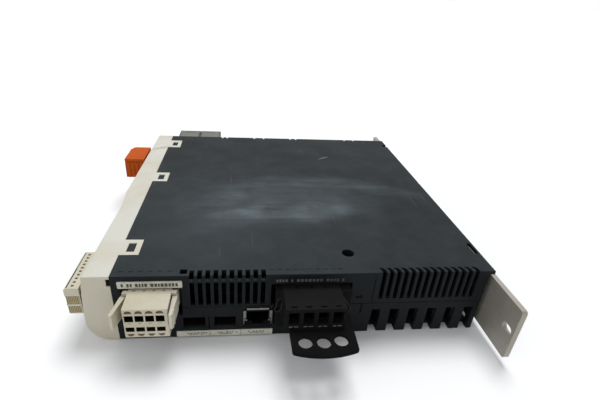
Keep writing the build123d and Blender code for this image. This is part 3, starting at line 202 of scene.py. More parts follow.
def plastic(name, base, tint, rough=0.5, grain=2600.0, pits=0.05, specular=0.4, wear_and_highlight=0.25, rounding=0.0003,
            soil_and_shade=(0.05, 0.045, 0.035), darkening=0.3):
    """Moulded plastic: uneven tone, fine grain, specks, edges lightened by rubbing and as painted
    highlight, and painted shade in its corners.
    """
    s = Shader(name)
    tone = s.mix(s.span(s.noise(26.0, 4.0), 0.36, 0.66), base, tint)
    tone = s.mix(s.span(s.noise(310.0, 5.0, 0.7), 0.45, 0.75, 0.0, 0.35), tone, scaled(base, 0.82))
    specks = s.span(s.cells(900.0), 0.10, 0.02, 0.0, 0.35)
    specks = s.math("MULTIPLY", specks, s.span(s.noise(70.0), 0.5, 0.62))
    tone = s.mix(specks, tone, soil_and_shade)
    # painted shade: enclosed corners darkened towards the given colour
    corner = s.math("MULTIPLY", s.span(s.nook_shade_mask(0.004), 0.75, 0.2), darkening)
    tone = s.mix(corner, tone, soil_and_shade)
    # edges lightened, partly as rubbing and partly as painted highlight
    edge_mask = s.math("MULTIPLY", s.edges(0.0005), s.span(s.noise(160.0, 5.0), 0.42, 0.62, 0.0, wear_and_highlight))
    tone = s.mix(edge_mask, tone, tuple(min(1.0, c * 1.5 + 0.06) for c in base))
    shine = s.span(s.noise(45.0, 4.0), 0.3, 0.7, rough - 0.07, rough + 0.09)
    s.relief(s.noise(grain, 2.0, 0.6), pits * 2.2, 0.0002, rounding)
    return s.finish(tone, shine, specular)


def metal(name, base, tint, rough=0.32, along=(1, 1, 1), grain=900.0, marks=0.10, rounding=0.0002,
          metallic=1.0):
    """Sheet or drawn metal: grain along one way, stains, edges brightened by rubbing, and painted shade in
    its hollows.
    """
    s = Shader(name)
    lines = s.noise(grain, 4.0, 0.6, where=s.mapped(along))
    stain = s.span(s.noise(60.0, 5.0, 0.65), 0.35, 0.7)
    tone = s.mix(stain, base, tint)
    tone = s.mix(s.span(lines, 0.3, 0.7, 0.0, 0.35), tone, scaled(base, 0.7))
    tone = s.mix(s.math("MULTIPLY", s.edges(0.0004), 0.5), tone, tuple(min(1.0, c * 1.35) for c in base))
    # painted shade: hollows and corners darkened
    tone = s.mix(s.span(s.nook_shade_mask(0.003), 0.6, 0.1, 0.0, 0.5), tone, scaled(base, 0.25))
    dulled = s.span(stain, 0, 1, 0.0, 0.08)
    shine = s.math("ADD", s.span(lines, 0.3, 0.7, rough - 0.06, rough + 0.08), dulled)
    s.relief(lines, marks, 0.0001, rounding)
    return s.finish(tone, shine, 0.5, metallic)


# rubbed marks on the upper panel: middle x and y, half length and half width in metres, turn in
# degrees, strength
SMEARS = (
    (-0.046, -0.024, 0.042, 0.017, 40, 0.60),
    (-0.004, 0.003, 0.056, 0.015, 6, 0.45),
    (0.066, -0.002, 0.056, 0.012, -18, 0.62),
    (-0.038, -0.050, 0.040, 0.014, 26, 0.45),
    (0.000, -0.042, 0.055, 0.015, 4, 1.00),
    (0.030, -0.034, 0.030, 0.017, 8, 0.45),
    (-0.030, -0.037, 0.030, 0.010, 30, 0.60),
    (0.002, -0.020, 0.085, 0.045, 8, 0.62),
)


def case_plastic():
    """Dark case: grained, with dusty rubbed streaks across the upper panel."""
    s = Shader("case_plastic")
    base, tint, dust = (0.0080, 0.0100, 0.0118), (0.0105, 0.0128, 0.0146), (0.150, 0.185, 0.200)
    edge_colour, nook_shade_colour = (0.055, 0.062, 0.066), (0.003, 0.003, 0.0035)
    tone = s.mix(s.span(s.noise(14.0, 4.0), 0.35, 0.68), base, tint)
    tone = s.mix(s.span(s.noise(420.0, 5.0, 0.7), 0.4, 0.75, 0.0, 0.3), tone, scaled(base, 0.8))
    top = s.span(s.facing("Z"), 0.7, 0.95)
    # smears wiped lengthwise, soft at their ends and streaked within
    pushed = s.warped(0.016, 38.0)
    field = 0.0
    for x, y, length, width, turn, strength in SMEARS:
        mark = s.ball((x, y, CASE_TOP), (length, width, 0.03), turn, pushed)
        field = s.math("ADD", s.math("MULTIPLY", s.span(mark, 0.0, 0.75), strength), field)
    streaks = s.noise(1.0, 6.0, 0.6, where=s.mapped((14, 95, 30), turn=math.radians(-8)), warp=0.5)
    cloud = s.noise(46.0, 5.0, 0.6, warp=0.3)
    film = s.math("ADD", s.span(streaks, 0.36, 0.70, 0.10, 0.62), s.span(cloud, 0.35, 0.70, 0.0, 0.45))
    smear = s.math("MULTIPLY", s.math("MULTIPLY", field, film), s.math("MULTIPLY", top, 0.42))
    tone = s.mix(smear, tone, dust)
    # a short bright scratch, and fingermarks and settled dust over the whole panel
    nick = s.span(s.ball((0.0413, 0.0575, CASE_TOP), (0.0075, 0.0014, 0.01), 32), 0.0, 0.6, 0.0, 0.55)
    tone = s.mix(s.math("MULTIPLY", nick, top), tone, dust)
    settled = s.math("MULTIPLY", s.ball((-0.055, -0.050, CASE_TOP), (0.130, 0.120, 0.2)), 0.11)
    film = s.math("ADD", s.span(s.noise(60.0, 6.0, 0.7), 0.4, 0.8, 0.025, 0.09), settled)
    tone = s.mix(s.math("MULTIPLY", film, top), tone, dust)
    patches = s.span(s.noise(55.0), 0.53, 0.63)
    specks = s.math("MULTIPLY", s.span(s.cells(520.0), 0.07, 0.02, 0.0, 0.4), patches)
    tone = s.mix(s.math("MULTIPLY", specks, top), tone, dust)
    hairs = s.noise(1.0, 2.0, 0.4, where=s.mapped((700, 18, 60), turn=math.radians(24)))
    hairs = s.math("MULTIPLY", s.span(hairs, 0.735, 0.76), s.math("MULTIPLY", top, 0.25))
    tone = s.mix(hairs, tone, dust)
    # edges made lighter by rubbing
    edge_mask = s.math("MULTIPLY", s.edges(0.0006), s.span(s.noise(120.0, 5.0), 0.38, 0.62, 0.05, 0.30))
    tone = s.mix(edge_mask, tone, edge_colour)
    # painted shade: hollows and corners darkened towards near black
    tone = s.mix(s.span(s.nook_shade_mask(0.004), 0.6, 0.1, 0.0, 0.6), tone, nook_shade_colour)
    shine = s.span(s.noise(38.0, 4.0), 0.3, 0.7, 0.46, 0.58)
    shine = s.math("ADD", shine, s.math("MULTIPLY", smear, 0.35))
    s.relief(s.noise(2300.0, 2.0, 0.6), 0.16, 0.0002, 0.00035)
    return s.finish(tone, shine, 0.075)


def bezel_plastic():
    """Light warm-grey bezel, yellowing in patches, darker and yellower on faces turned to the connector
    end; painted shade darkens its hollows, and rubbing and painted shade darken its edges.
    """
    s = Shader("bezel_plastic")
    base, aged, grime_and_shade = (0.53, 0.525, 0.475), (0.45, 0.415, 0.305), (0.20, 0.17, 0.12)
    brown, end_face_tone, edge_colour = (0.28, 0.205, 0.10), (0.475, 0.435, 0.335), (0.48, 0.44, 0.36)
    tone = s.mix(s.span(s.noise(26.0, 4.0, warp=0.4), 0.42, 0.70, 0.0, 0.8), base, aged)
    # brown stain across the strip by the farthest clip tab
    stain = s.ball((-0.1045, 0.0742, CASE_TOP), (0.0100, 0.0032, 0.01), 32, s.warped(0.005, 160.0))
    tone = s.mix(s.span(stain, 0.0, 0.7, 0.0, 0.6), tone, brown)
    # faces turned to the connector end made darker and yellower
    end = s.span(s.facing("Y"), -0.4, -0.95, 0.0, 0.6)
    tone = s.mix(end, tone, end_face_tone)
    tone = s.mix(s.span(s.noise(240.0, 5.0, 0.7), 0.5, 0.8, 0.0, 0.22), tone, scaled(base, 0.8))
    patches = s.span(s.noise(48.0), 0.52, 0.62)
    specks = s.math("MULTIPLY", s.span(s.cells(620.0), 0.06, 0.02, 0.0, 0.7), patches)
    tone = s.mix(specks, tone, grime_and_shade)
    # painted shade: hollows and corners darkened
    tone = s.mix(s.span(s.nook_shade_mask(0.003), 0.7, 0.15, 0.0, 0.55), tone, grime_and_shade)
    # edges darkened, partly as rubbing and partly as painted shade on their rounding
    edge_mask = s.math("MULTIPLY", s.edges(0.0006), s.span(s.noise(90.0, 5.0), 0.45, 0.65, 0.0, 0.35))
    tone = s.mix(edge_mask, tone, edge_colour)
    shine = s.span(s.noise(40.0, 4.0), 0.3, 0.7, 0.36, 0.50)
    s.relief(s.noise(1900.0, 2.0, 0.6), 0.10, 0.0002, 0.0005)
    return s.finish(tone, shine, 0.3)


def board_laminate():
    """Green solder mask with the copper tracks showing through."""
    s = Shader("board_laminate")
    base, tint, over_copper = (0.010, 0.085, 0.038), (0.016, 0.11, 0.052), (0.03, 0.17, 0.075)
    tracks = s.add("ShaderNodeTexBrick")
    s.feed(tracks.inputs["Vector"], s.mapped((260, 260, 260), turn=math.radians(45)))
    tracks.inputs["Mortar Size"].default_value = 0.06
    copper = s.span(tracks.outputs["Fac"], 0.2, 0.8)
    tone = s.mix(s.span(s.noise(35.0), 0.3, 0.7), base, tint)
    tone = s.mix(copper, tone, over_copper)
    s.relief(copper, 0.3, 0.00008, 0.0001)
    return s.finish(tone, s.span(s.noise(300.0), 0.3, 0.7, 0.25, 0.4), 0.5)


def winding():
    """Enamelled copper wire, laid close."""
    s = Shader("choke_winding")
    gap, copper = (0.22, 0.07, 0.02), (0.55, 0.22, 0.07)
    turns = s.add("ShaderNodeTexWave", wave_type="RINGS", rings_direction="Z")
    s.feed(turns.inputs["Vector"], s.mapped((900, 900, 900)))
    tone = s.mix(turns.outputs["Fac"], gap, copper)
    s.relief(turns.outputs["Fac"], 0.6, 0.0004, 0.0002)
    return s.finish(tone, 0.32, 0.5, 0.6)


def lens():
    """Smoked display lens with faint smears."""
    s = Shader("display_lens")
    smoked, greasy = (0.006, 0.005, 0.005), (0.03, 0.03, 0.032)
    smear = s.span(s.noise(1.0, 5.0, 0.6, where=s.mapped((60, 260, 260))), 0.45, 0.8)
    tone = s.mix(s.math("MULTIPLY", smear, 0.3), smoked, greasy)
    s.relief(s.noise(500.0), 0.02, 0.00005, 0.0003)
    return s.finish(tone, s.math("ADD", s.math("MULTIPLY", smear, 0.25), 0.07), 0.55)


def label_film():
    """Off-white printed film with dirty patches, rubbed at its edges."""
    s = Shader("label_film")
    base, aged = (0.52, 0.515, 0.435), (0.40, 0.390, 0.315)
    rubbed, darkening = (0.14, 0.135, 0.12), (0.19, 0.185, 0.16)
    tone = s.mix(s.span(s.noise(90.0, 5.0, 0.65), 0.4, 0.75), base, aged)
    tone = s.mix(s.math("MULTIPLY", s.edges(0.0005), 0.6), tone, rubbed)
    tone = s.mix(s.span(s.noise(420.0, 4.0), 0.55, 0.75, 0.0, 0.5), tone, darkening)
    s.relief(s.noise(800.0), 0.05, 0.0001, 0.0001)
    return s.finish(tone, s.span(s.noise(150.0), 0.3, 0.7, 0.4, 0.6), 0.4)


MATERIALS = {
    "case_plastic": case_plastic(),
    "bezel_plastic": bezel_plastic(),
    "panel_grey": plastic("panel_grey", (0.15, 0.155, 0.16), (0.18, 0.185, 0.19), 0.5),
    "display_lens": lens(),
    "module_black": plastic("module_black", (0.003, 0.003, 0.003), (0.005, 0.005, 0.005), 0.5,
                            specular=0.05, wear_and_highlight=0.04),
    "light_pipe": plastic("light_pipe", (0.55, 0.60, 0.56), (0.46, 0.52, 0.48), 0.18, pits=0.01, wear_and_highlight=0.1),
    "button_grey": plastic("button_grey", (0.40, 0.40, 0.385), (0.34, 0.34, 0.33), 0.45),
    "dial_grey": plastic("dial_grey", (0.27, 0.275, 0.28), (0.32, 0.325, 0.33), 0.45),
    "board_laminate": board_laminate(),
    "card_plastic": plastic("card_plastic", (0.03, 0.06, 0.16), (0.04, 0.075, 0.19), 0.3, pits=0.02),
    "contact_steel": metal("contact_steel", (0.60, 0.60, 0.60), (0.48, 0.48, 0.47), 0.3, (1, 6, 1)),
    "plug_cream": plastic("plug_cream", (0.51, 0.485, 0.395), (0.44, 0.405, 0.30), 0.42, pits=0.04,
                          specular=0.3, soil_and_shade=(0.24, 0.19, 0.10), darkening=0.45, wear_and_highlight=0.15),
    "plug_orange": plastic("plug_orange", (0.48, 0.091, 0.013), (0.41, 0.070, 0.009), 0.5, pits=0.04,
                           specular=0.03, soil_and_shade=(0.14, 0.03, 0.01), darkening=0.5, wear_and_highlight=0.2),
    "plug_black": plastic("plug_black", (0.0036, 0.0036, 0.0037), (0.0056, 0.0055, 0.0055), 0.6,
                          specular=0.02, wear_and_highlight=0.05, rounding=0.0004),
    "clamp_metal": metal("clamp_metal", (0.62, 0.60, 0.56), (0.44, 0.41, 0.36), 0.28, (8, 1, 1)),
    "mains_black": plastic("mains_black", (0.0072, 0.0072, 0.0072), (0.0096, 0.0095, 0.0094), 0.6,
                           specular=0.03, wear_and_highlight=0.25, rounding=0.0004),
    "flange_grey": plastic("flange_grey", (0.030, 0.030, 0.029), (0.024, 0.024, 0.023), 0.5, specular=0.1),
    "jack_metal": metal("jack_metal", (0.24, 0.235, 0.22), (0.17, 0.165, 0.15), 0.34, (1, 6, 1)),
    "label_film": label_film(),
    "plug_grey": plastic("plug_grey", (0.060, 0.061, 0.058), (0.085, 0.085, 0.080), 0.48, specular=0.2),
    "lid_grey": plastic("lid_grey", (0.135, 0.136, 0.122), (0.175, 0.172, 0.150), 0.5, specular=0.15),
    "pin_brass": metal("pin_brass", (0.78, 0.66, 0.40), (0.60, 0.48, 0.26), 0.28),
    # heat sink coloured near-black as painted shade: its aluminium fins sit in shadow behind the vents
    "sink_black": metal("sink_black", (0.030, 0.031, 0.033), (0.045, 0.045, 0.047), 0.42, (1, 0.04, 1),
                        grain=1500.0, metallic=0.6),
    "sink_aluminium": metal("sink_aluminium", (0.58, 0.59, 0.60), (0.48, 0.485, 0.49), 0.36, (1, 0.05, 1)),
    "plate_steel": metal("plate_steel", (0.36, 0.340, 0.30), (0.28, 0.255, 0.21), 0.42, (1, 0.08, 1),
                         grain=1400.0, marks=0.08, metallic=0.5),
    "screw_steel": metal("screw_steel", (0.50, 0.49, 0.46), (0.38, 0.36, 0.32), 0.32),
    "fan_plastic": plastic("fan_plastic", (0.013, 0.013, 0.014), (0.018, 0.018, 0.018), 0.4, wear_and_highlight=0.1),
    "standoff_brass": metal("standoff_brass", (0.72, 0.56, 0.28), (0.56, 0.42, 0.20), 0.3),
    "capacitor_sleeve": plastic("capacitor_sleeve", (0.012, 0.016, 0.045), (0.02, 0.026, 0.06), 0.25,
                                pits=0.02),
    "choke_winding": winding(),
    "capacitor_box": plastic("capacitor_box", (0.33, 0.24, 0.07), (0.28, 0.19, 0.05), 0.4),
    "tan_plastic": plastic("tan_plastic", (0.42, 0.350, 0.195), (0.33, 0.255, 0.125), 0.45, pits=0.06,
                           specular=0.2, soil_and_shade=(0.08, 0.05, 0.02), darkening=0.6),
    "tongue_tan": plastic("tongue_tan", (0.30, 0.185, 0.085), (0.22, 0.120, 0.050), 0.45, pits=0.06,
                          specular=0.2, soil_and_shade=(0.05, 0.03, 0.015), darkening=0.7),
    "gold_contact": metal("gold_contact", (0.86, 0.62, 0.28), (0.66, 0.44, 0.18), 0.24, (1, 8, 1)),
    # near-black clamp metal: painted shade for clamps that sit in shadow inside the mains plug's openings
    "shade_dark_clamp": metal("shade_dark_clamp", (0.022, 0.021, 0.020), (0.014, 0.013, 0.012), 0.45, (8, 1, 1)),
    # near-black contact metal: painted shade for contacts deep inside the modular jacks
    "shade_dark_contact": metal("shade_dark_contact", (0.055, 0.034, 0.018), (0.032, 0.020, 0.011), 0.4, (1, 8, 1)),
    "print_dark": plastic("print_dark", (0.045, 0.045, 0.042), (0.075, 0.073, 0.066), 0.6, pits=0.02,
                          wear_and_highlight=0.0),
    "print_light": plastic("print_light", (0.105, 0.105, 0.095), (0.070, 0.070, 0.064), 0.6, pits=0.02,
                           specular=0.1, wear_and_highlight=0.0),
}

for entry in frame["record"]["subparts"]:
    node = frame["nodes"][entry["node"]]
    node.data.materials.clear()
    node.data.materials.append(MATERIALS[entry["material_slot"]])
# the mains plug's clamps take the near-black clamp metal as painted shade
frame["nodes"]["mains_plug_clamps"].data.materials[0] = MATERIALS["shade_dark_clamp"]
frame["nodes"]["mains_plug"].data.materials[0] = MATERIALS["mains_black"]


# ------------------------------------------------------------------ fine parts
def slab(bm, x, y, z):
    """Box between the ends given on each axis, in datum millimetres."""
    low, high = at(x[0], y[0], z[0]), at(x[1], y[1], z[1])
    box = bmesh.ops.create_cube(bm, size=1.0)
    size = Matrix.Diagonal((*(high - low), 1.0))
    bmesh.ops.transform(bm, matrix=Matrix.Translation((low + high) / 2) @ size, verts=box["verts"])


def prism(bm, outline, depth):
    """Closed outline of datum points, pushed along a vector given in millimetres."""
    near = [bm.verts.new(at(*p)) for p in outline]
    far = [bm.verts.new(v.co + Vector(depth) * MM) for v in near]
    bm.faces.new(near)
    bm.faces.new(reversed(far))
    for i in range(len(near)):
        j = (i + 1) % len(near)
        bm.faces.new((near[j], near[i], far[i], far[j]))


def ribbon(bm, x, points, width, thick):
    """Bent flat spring through (y, z) points at one x, with its width along x."""
    for (y0, z0), (y1, z1) in zip(points, points[1:]):
        run = math.hypot(y1 - y0, z1 - z0)
        ny, nz = -(z1 - z0) / run * thick / 2, (y1 - y0) / run * thick / 2
        outline = [
            (x - width / 2, y0 + ny, z0 + nz),
            (x - width / 2, y1 + ny, z1 + nz),
            (x - width / 2, y1 - ny, z1 - nz),
            (x - width / 2, y0 - ny, z0 - nz),
        ]
        prism(bm, outline, (width, 0, 0))


def piece(name, body, slot, build, bevel=0.0):
    """Mesh piece built by a function, with rounded edges, riding on a body."""
    bm = bmesh.new()
    build(bm)
    bmesh.ops.recalc_face_normals(bm, faces=bm.faces)
    mesh = bpy.data.meshes.new(name)
    bm.to_mesh(mesh)
    bm.free()
    obj = bpy.data.objects.new(name, mesh)
    bpy.context.scene.collection.objects.link(obj)
    obj.data.materials.append(MATERIALS[slot])
    if bevel:
        rounding = obj.modifiers.new("rounding", "BEVEL")
        rounding.width = bevel * MM
        rounding.segments = 2
        rounding.limit_method = "ANGLE"
    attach(obj, body)
    return obj


def poles(middle, pitch, count):
    """Places of a row with an even pitch, about its middle."""
    return [middle + pitch * (i - (count - 1) / 2) for i in range(count)]


MAINS_PITCH = 7.62
SUPPLY_POLES = poles(19.45, 5.08, 4)
SUPPLY_PORTS = ((28.0, 32.0), (21.4, 24.4))     # lower and upper end of each row of wire holes
MAINS_POLES = poles(105.35, MAINS_PITCH, 4)
SIGNAL_POLES = poles(17.0, 3.0, 10)
JACK_PITCH = 1.02


def arched_springs(bm):
    """Release tongues seen in the arched slots of the supply plug."""
    steps = 10
    arc = [math.pi * i / steps for i in range(steps + 1)]
    for x in SUPPLY_POLES:
        for z, radius, sign in ((33.35, 1.8, 1), (19.85, 1.6, -1)):
            outline = [(x + radius * math.cos(a), -14.6, z + sign * radius * math.sin(a)) for a in arc]
            prism(bm, outline, (0, 0.5, 0))
            slab(bm, (x - 1.0, x + 1.0), (-14.8, -14.5), sorted((z + sign * 0.3, z + sign * 0.7)))
        # tongue ends showing on the top and below the upper holes
        slab(bm, (x - 0.7, x + 0.7), (-1.9, -0.9), (35.82, 35.94))
        slab(bm, (x - 0.8, x + 0.8), (-15.43, -15.3), (26.75, 27.15))


piece("supply_plug_tongues", "supply_plug", "tongue_tan", arched_springs, 0.05)


def supply_hole_shade(bm):
    """Near-black inner sleeves of the supply plug's wire holes: painted shade that keeps the holes dark.
    """
    reach, skin, gap, depth = 2.13, 0.14, 0.02, (-15.3, -6.1)
    for x in SUPPLY_POLES:
        for low, high in SUPPLY_PORTS:
            low, high = low + gap, high - gap
            slab(bm, (x - reach, x - reach + skin), depth, (low, high))
            slab(bm, (x + reach - skin, x + reach), depth, (low, high))
            slab(bm, (x - reach + skin, x + reach - skin), depth, (low, low + skin))
            slab(bm, (x - reach + skin, x + reach - skin), depth, (high - skin, high))
            slab(bm, (x - reach + skin, x + reach - skin), (-6.4, -6.1), (low + skin, high - skin))


piece("supply_plug_hole_shade", "supply_plug", "module_black", supply_hole_shade)


def signal_end_rows(bm):
    """Ribbed tan blocks in the end pockets of the signal plug."""
    for low, high in ((19.8, 24.2), (25.6, 31.0)):
        slab(bm, (-23.4, -17.0), (1.25, 1.58), (low + 0.05, high - 0.05))
        for x in poles(-20.3, 0.86, 8):
            slab(bm, (x - 0.26, x + 0.26), (0.95, 1.3), (low + 0.1, high - 0.1))


piece("signal_plug_end_rows", "signal_plug", "tan_plastic", signal_end_rows, 0.06)


def signal_levers(bm):
    """Tan release levers and clamp tongues of the two rows of wire holes."""
    for y in SIGNAL_POLES:
        for z in (22.0, 28.3):
            slab(bm, (-22.6, -17.9), (y - 0.9, y + 0.9), (z + 0.3, z + 1.3))
        slab(bm, (-20.75, -19.45), (y - 0.65, y + 0.65), (34.5, 35.2))


piece("signal_plug_levers", "signal_plug", "tan_plastic", signal_levers, 0.1)


def signal_cover_line(bm):
    """Near-black strip in the groove along the signal plug's upper edge: painted shade that darkens the
    groove.
    """
    slab(bm, (-22.98, -22.42), (1.9, 18.0), (35.35, 35.85))


piece("signal_plug_strip", "signal_plug", "module_black", signal_cover_line, 0.05)


def jack_springs(bm):
    """Eight bent contacts in each modular jack."""
    width, thick = 0.42, 0.24
    for middle in (41.2, 58.2):
        for x in poles(middle, 1.1, 8):
            ribbon(bm, x, [(2.4, 8.25), (3.2, 8.5), (10.5, 11.4), (13.2, 11.6)], width, thick)
    for x in poles(76.5, JACK_PITCH, 8):
        ribbon(bm, x, [(3.6, 16.75), (4.4, 16.5), (10.5, 13.8), (13.2, 13.6)], width, thick)


# the jack contacts are coloured near-black as painted shade
piece("jack_springs", "case", "shade_dark_contact", jack_springs)


def service_springs(bm):
    """Contacts of the commissioning jack behind the flap."""
    width, thick = 0.4, 0.25
    for y in poles(49.5, JACK_PITCH, 8):
        for (x0, z0), (x1, z1) in (((-8.2, 14.9), (-7.4, 15.1)), ((-7.4, 15.1), (-1.6, 18.0))):
            back = y - width / 2
            outline = [(x0, back, z0), (x1, back, z1), (x1, back, z1 - thick), (x0, back, z0 - thick)]
            prism(bm, outline, (0, width, 0))


piece("service_jack_springs", "case", "gold_contact", service_springs)


def label_print(bm):
    """Rows of plain dashes printed on the two labels, with rules between the fields."""
    skin = (-0.43, -0.38)

    def row(x, end, z, height):
        while x < end:
            width = random.uniform(0.8, 1.6)
            slab(bm, (x, min(x + width, end)), skin, (z - height / 2, z + height / 2))
            x += width + random.choice((0.5, 0.5, 0.6, 1.7))

    row(5.4, 34.2, 38.7, 2.1)
    for start in (35.6, 52.6, 69.6):
        row(start + 1.5, start + 12.5, 3.4, 0.7)
        row(start + 2.5, start + 10.5, 2.3, 0.45)
    for x in (49.6, 66.9):
        slab(bm, (x, x + 0.25), skin, (1.3, 4.8))


piece("label_print", "case", "print_dark", label_print)


def case_print(bm):
    """Row of pale dashes printed on the case above the mains plug."""
    x, end = 86.0, 123.4
    while x < end:
        width = random.uniform(0.9, 1.7)
        slab(bm, (x, x + width), (-0.03, 0.02), (38.9, 40.7))
        x += width + random.choice((0.6, 0.6, 0.7, 2.0))


piece("case_print", "case", "print_light", case_print)


def digits(bm):
    """Unlit seven-segment digits on the display, read from the connector end."""
    centre, height, width, stroke = 78.0, 6.6, 3.4, 0.5
    skin = (-12.85, -12.75)
    reach = width / 2 - 0.4
    for z in poles(22.5, 5.6, 4):
        for y in (centre - height / 2, centre, centre + height / 2):
            slab(bm, skin, (y - stroke / 2, y + stroke / 2), (z - reach, z + reach))
        for side in (-1, 1):
            edge = z + side * width / 2
            for half in (-1, 1):
                middle = centre + half * height / 4
                slab(bm, skin, (middle - 1.25, middle + 1.25), (edge - stroke / 2, edge + stroke / 2))
        slab(bm, skin, (81.4, 82.0), (z - 2.75, z - 2.15))


piece("display_digits", "case", "print_dark", digits, 0.08)


def panel_print(bm):
    """Scale ticks round the dial, plain arrows beside the buttons and thin dividing lines."""
    front, thick = -12.63, 0.05
    dial_y, dial_z = 122.0, 22.0
    for i in range(25):
        angle = math.radians(-120 + i * 10)
        inner, outer = 11.3, 12.6 if i % 4 == 0 else 12.0
        away = Vector((-math.cos(angle), math.sin(angle)))
        side = Vector((math.sin(angle), math.cos(angle))) * 0.12
        corners = [away * inner - side, away * outer - side, away * outer + side, away * inner + side]
        prism(bm, [(front, dial_y + c.x, dial_z + c.y) for c in corners], (thick, 0, 0))
    for z, sign in ((13.0, -1), (31.0, 1)):
        tip, foot = z + sign * 1.1, z - sign * 0.7
        prism(bm, [(front, 104.6, tip), (front, 103.7, foot), (front, 105.5, foot)], (thick, 0, 0))
    rules = (((69.0, 69.3), (9.5, 35.5)), ((110.2, 110.35), (9.0, 18.0)), ((110.2, 110.35), (26.0, 35.0)))
    for y, z in rules:
        slab(bm, (front, front + thick), y, z)


piece("panel_print", "case", "print_light", panel_print)


def latch_rims(bm):
    """Raised rims round the leaning latch openings in the mains plug's flanges."""
    steps, foot, front, inner, outer = 24, -3.55, -4.0, 0.05, 0.5
    for x, z, length, width, lean in ((87.7, 26.0, 9.0, 2.4, -12.0), (124.3, 26.5, 12.0, 2.2, 32.0)):
        turn = Matrix.Rotation(math.radians(lean), 2)
        loops = []
        for y, wall in ((foot, inner), (foot, outer), (front, outer), (front, inner)):
            loop = []
            for i in range(steps):
                angle = 2 * math.pi * (i + 0.5) / steps
                reach = Vector((math.cos(angle), math.sin(angle))) * (width / 2 + wall)
                reach.y += math.copysign((length - width) / 2, reach.y)
                across, up = turn @ reach
                loop.append(bm.verts.new(at(x + across, y, z + up)))
            loops.append(loop)
        for a, b in zip(loops, loops[1:] + loops[:1]):
            for i in range(steps):
                j = (i + 1) % steps
                bm.faces.new((a[i], a[j], b[j], b[i]))


piece("mains_plug_latch_rims", "mains_plug", "flange_grey", latch_rims)


def notch_shade_slab(bm):
    """Near-black slab behind the small notch where bezel and cover meet: painted shade that makes the
    notch read deep and dark.
    """
    slab(bm, (-1.88, -0.02), (0.70, 0.95), (38.02, 42.38))


piece("notch_shade_slab", "case", "module_black", notch_shade_slab)


def safety_clamps(bm):
    """Steel clamp tongues in the safety plug's wire holes."""
    for y in poles(173.55, 3.5, 6):
        for low, high in ((26.0, 29.4), (34.0, 37.4)):
            slab(bm, (-30.8, -25.2), (y - 1.1, y + 1.1), (low + 0.1, low + 0.45))
            slab(bm, (-30.2, -25.2), (y - 1.1, y - 0.8), (low + 0.45, high - 0.1))


piece("safety_plug_clamps", "safety_plug", "clamp_metal", safety_clamps, 0.06)


def safety_ribs(bm):
    """Webs that leave only shallow lines of the safety plug's side grooves."""
    reach = 0.59
    for x in poles(-25.2, 3.5, 5):
        slab(bm, (x - reach, x + reach), (161.85, 162.85), (24.1, 38.75))


piece("safety_plug_ribs", "safety_plug", "plug_orange", safety_ribs)


def bus_clamps(middle):
    """Builder of the clamp cages and screw heads of a two-pole plug, from the plug's middle."""
    outer, inner, depth = 2.6, 2.2, (228.1, 235.5)
    sill, sides = (27.05, 27.5), (27.5, 32.9)

    def build(bm):
        for x in poles(middle, MAINS_PITCH, 2):
            slab(bm, (x - outer, x + outer), depth, sill)
            slab(bm, (x - outer, x - inner), depth, sides)
            slab(bm, (x + inner, x + outer), depth, sides)
            slab(bm, (x - 1.4, x + 1.4), (234.2, 234.8), (35.5, 38.1))
    return build


piece("resistor_plug_clamps", "resistor_plug", "clamp_metal", bus_clamps(14.4), 0.08)
piece("dc_bus_plug_clamps", "dc_bus_plug", "clamp_metal", bus_clamps(34.8), 0.08)


def earth_marks(bm):
    """Plain earth symbols on the plate beside the earth screws."""
    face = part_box("rear_plate")[0].x / MM - CORNER_X / MM - 0.03
    skin, line, first_bar = (face, face + 0.06), 0.12, 228.6
    for z in (16.6, 27.4):
        for i, half in enumerate((1.3, 0.85, 0.4)):
            y = first_bar + i * 0.75
            slab(bm, skin, (y - line, y + line), (z - half, z + half))
        slab(bm, skin, (226.7, first_bar), (z - line, z + line))


piece("earth_marks", "case", "print_dark", earth_marks)


def mains_lips(bm):
    """Clamp edges along the sill of each wire opening of the mains plug."""
    skin = (-20.4, -20.25)
    for x in MAINS_POLES:
        slab(bm, (x - 2.4, x - 0.5), skin, (25.95, 26.65))
        slab(bm, (x + 0.1, x + 2.4), skin, (26.0, 26.65))


piece("mains_plug_sills", "mains_plug", "screw_steel", mains_lips, 0.08)


# ------------------------------------------------------------------ studio
def stage_floor():
    """Pale floor that the drive lies on."""
    s = Shader("studio_floor")
    base, tint = (0.79, 0.808, 0.827), (0.81, 0.823, 0.838)
    tone = s.mix(s.span(s.noise(3.0, 3.0), 0.3, 0.7), base, tint)
    s.relief(s.noise(120.0), 0.02, 0.0002)
    material = s.finish(tone, 0.6, 0.2)
    half, level = 20.0, -0.0001
    mesh = bpy.data.meshes.new("studio_floor")
    corners = [(-half, -half, level), (half, -half, level), (half, half, level), (-half, half, level)]
    mesh.from_pydata(corners, [], [(0, 1, 2, 3)])
    floor = bpy.data.objects.new("studio_floor", mesh)
    bpy.context.scene.collection.objects.link(floor)
    floor.data.materials.append(material)


def sun_light(name, source, spread, strength):
    """Even light from the direction of a point, as soft as its spread in degrees."""
    light = bpy.data.lights.new(name, "SUN")
    light.angle = math.radians(spread)
    light.energy = strength
    lamp = bpy.data.objects.new(name, light)
    lamp.rotation_euler = (-Vector(source)).to_track_quat("-Z", "Y").to_euler()
    bpy.context.scene.collection.objects.link(lamp)


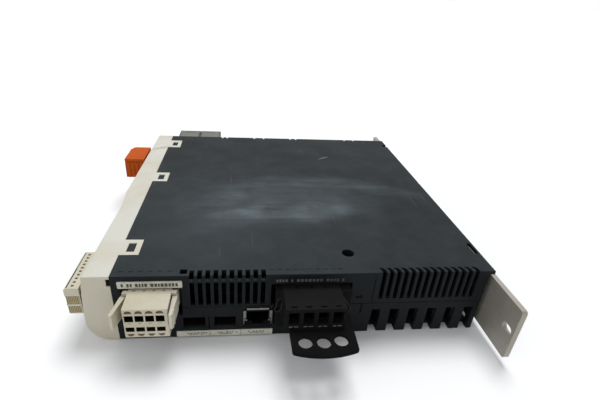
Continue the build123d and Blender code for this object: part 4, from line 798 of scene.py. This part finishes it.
# strength of the surroundings, between two heights and two depths of the view direction
FADE_UP = ((0.22, 0.60), (1.0, 0.50))
FADE_BACK = ((-0.7, 0.3), (0.92, 1.0))
KEY_LIGHT = {"source": (0.15, 0.36, 1.0), "spread": 30.0, "strength": 2.2}
SIDE_LIGHT = {"source": (-1.0, -0.40, 0.7), "spread": 60.0, "strength": 0.6}


def studio_world():
    """White surroundings, brightest low down behind the drive, dimmer overhead and in front."""
    world = bpy.data.worlds.new("studio")
    world.use_nodes = True
    nodes, links = world.node_tree.nodes, world.node_tree.links
    way = nodes.new("ShaderNodeSeparateXYZ")
    links.new(nodes.new("ShaderNodeTexCoord").outputs["Generated"], way.inputs[0])

    def fade(axis, ends, strengths):
        node = nodes.new("ShaderNodeMapRange")
        links.new(way.outputs[axis], node.inputs["Value"])
        for key, value in zip(("From Min", "From Max", "To Min", "To Max"), (*ends, *strengths)):
            node.inputs[key].default_value = value
        return node.outputs[0]

    product = nodes.new("ShaderNodeMath")
    product.operation = "MULTIPLY"
    links.new(fade("Z", *FADE_UP), product.inputs[0])
    links.new(fade("Y", *FADE_BACK), product.inputs[1])
    links.new(product.outputs[0], nodes["Background"].inputs["Strength"])
    nodes["Background"].inputs["Color"].default_value = (1, 1, 1, 1)
    bpy.context.scene.world = world


stage_floor()
studio_world()
sun_light("key", **KEY_LIGHT)
sun_light("side", **SIDE_LIGHT)

# ------------------------------------------------------------------ camera
EYE = (-0.0317, -0.2747, 0.1795)
LOOK = (0.1145, 0.8743, -0.4717)
RIGHTWARD = (0.9934, -0.0977, 0.0600)
camera = bpy.data.cameras.new("camera")
camera.lens = 23.9
camera.sensor_width = 36.0
camera.shift_x = 0.02
eye = bpy.data.objects.new("camera", camera)
forward = Vector(LOOK).normalized()
right = Vector(RIGHTWARD)
right = (right - forward * right.dot(forward)).normalized()
up = right.cross(forward)
turned = Matrix((right, up, -forward)).transposed().to_4x4()
eye.matrix_world = Matrix.Translation(EYE) @ turned
bpy.context.scene.collection.objects.link(eye)
bpy.context.scene.camera = eye
bpy.context.scene.view_settings.view_transform = "Standard"
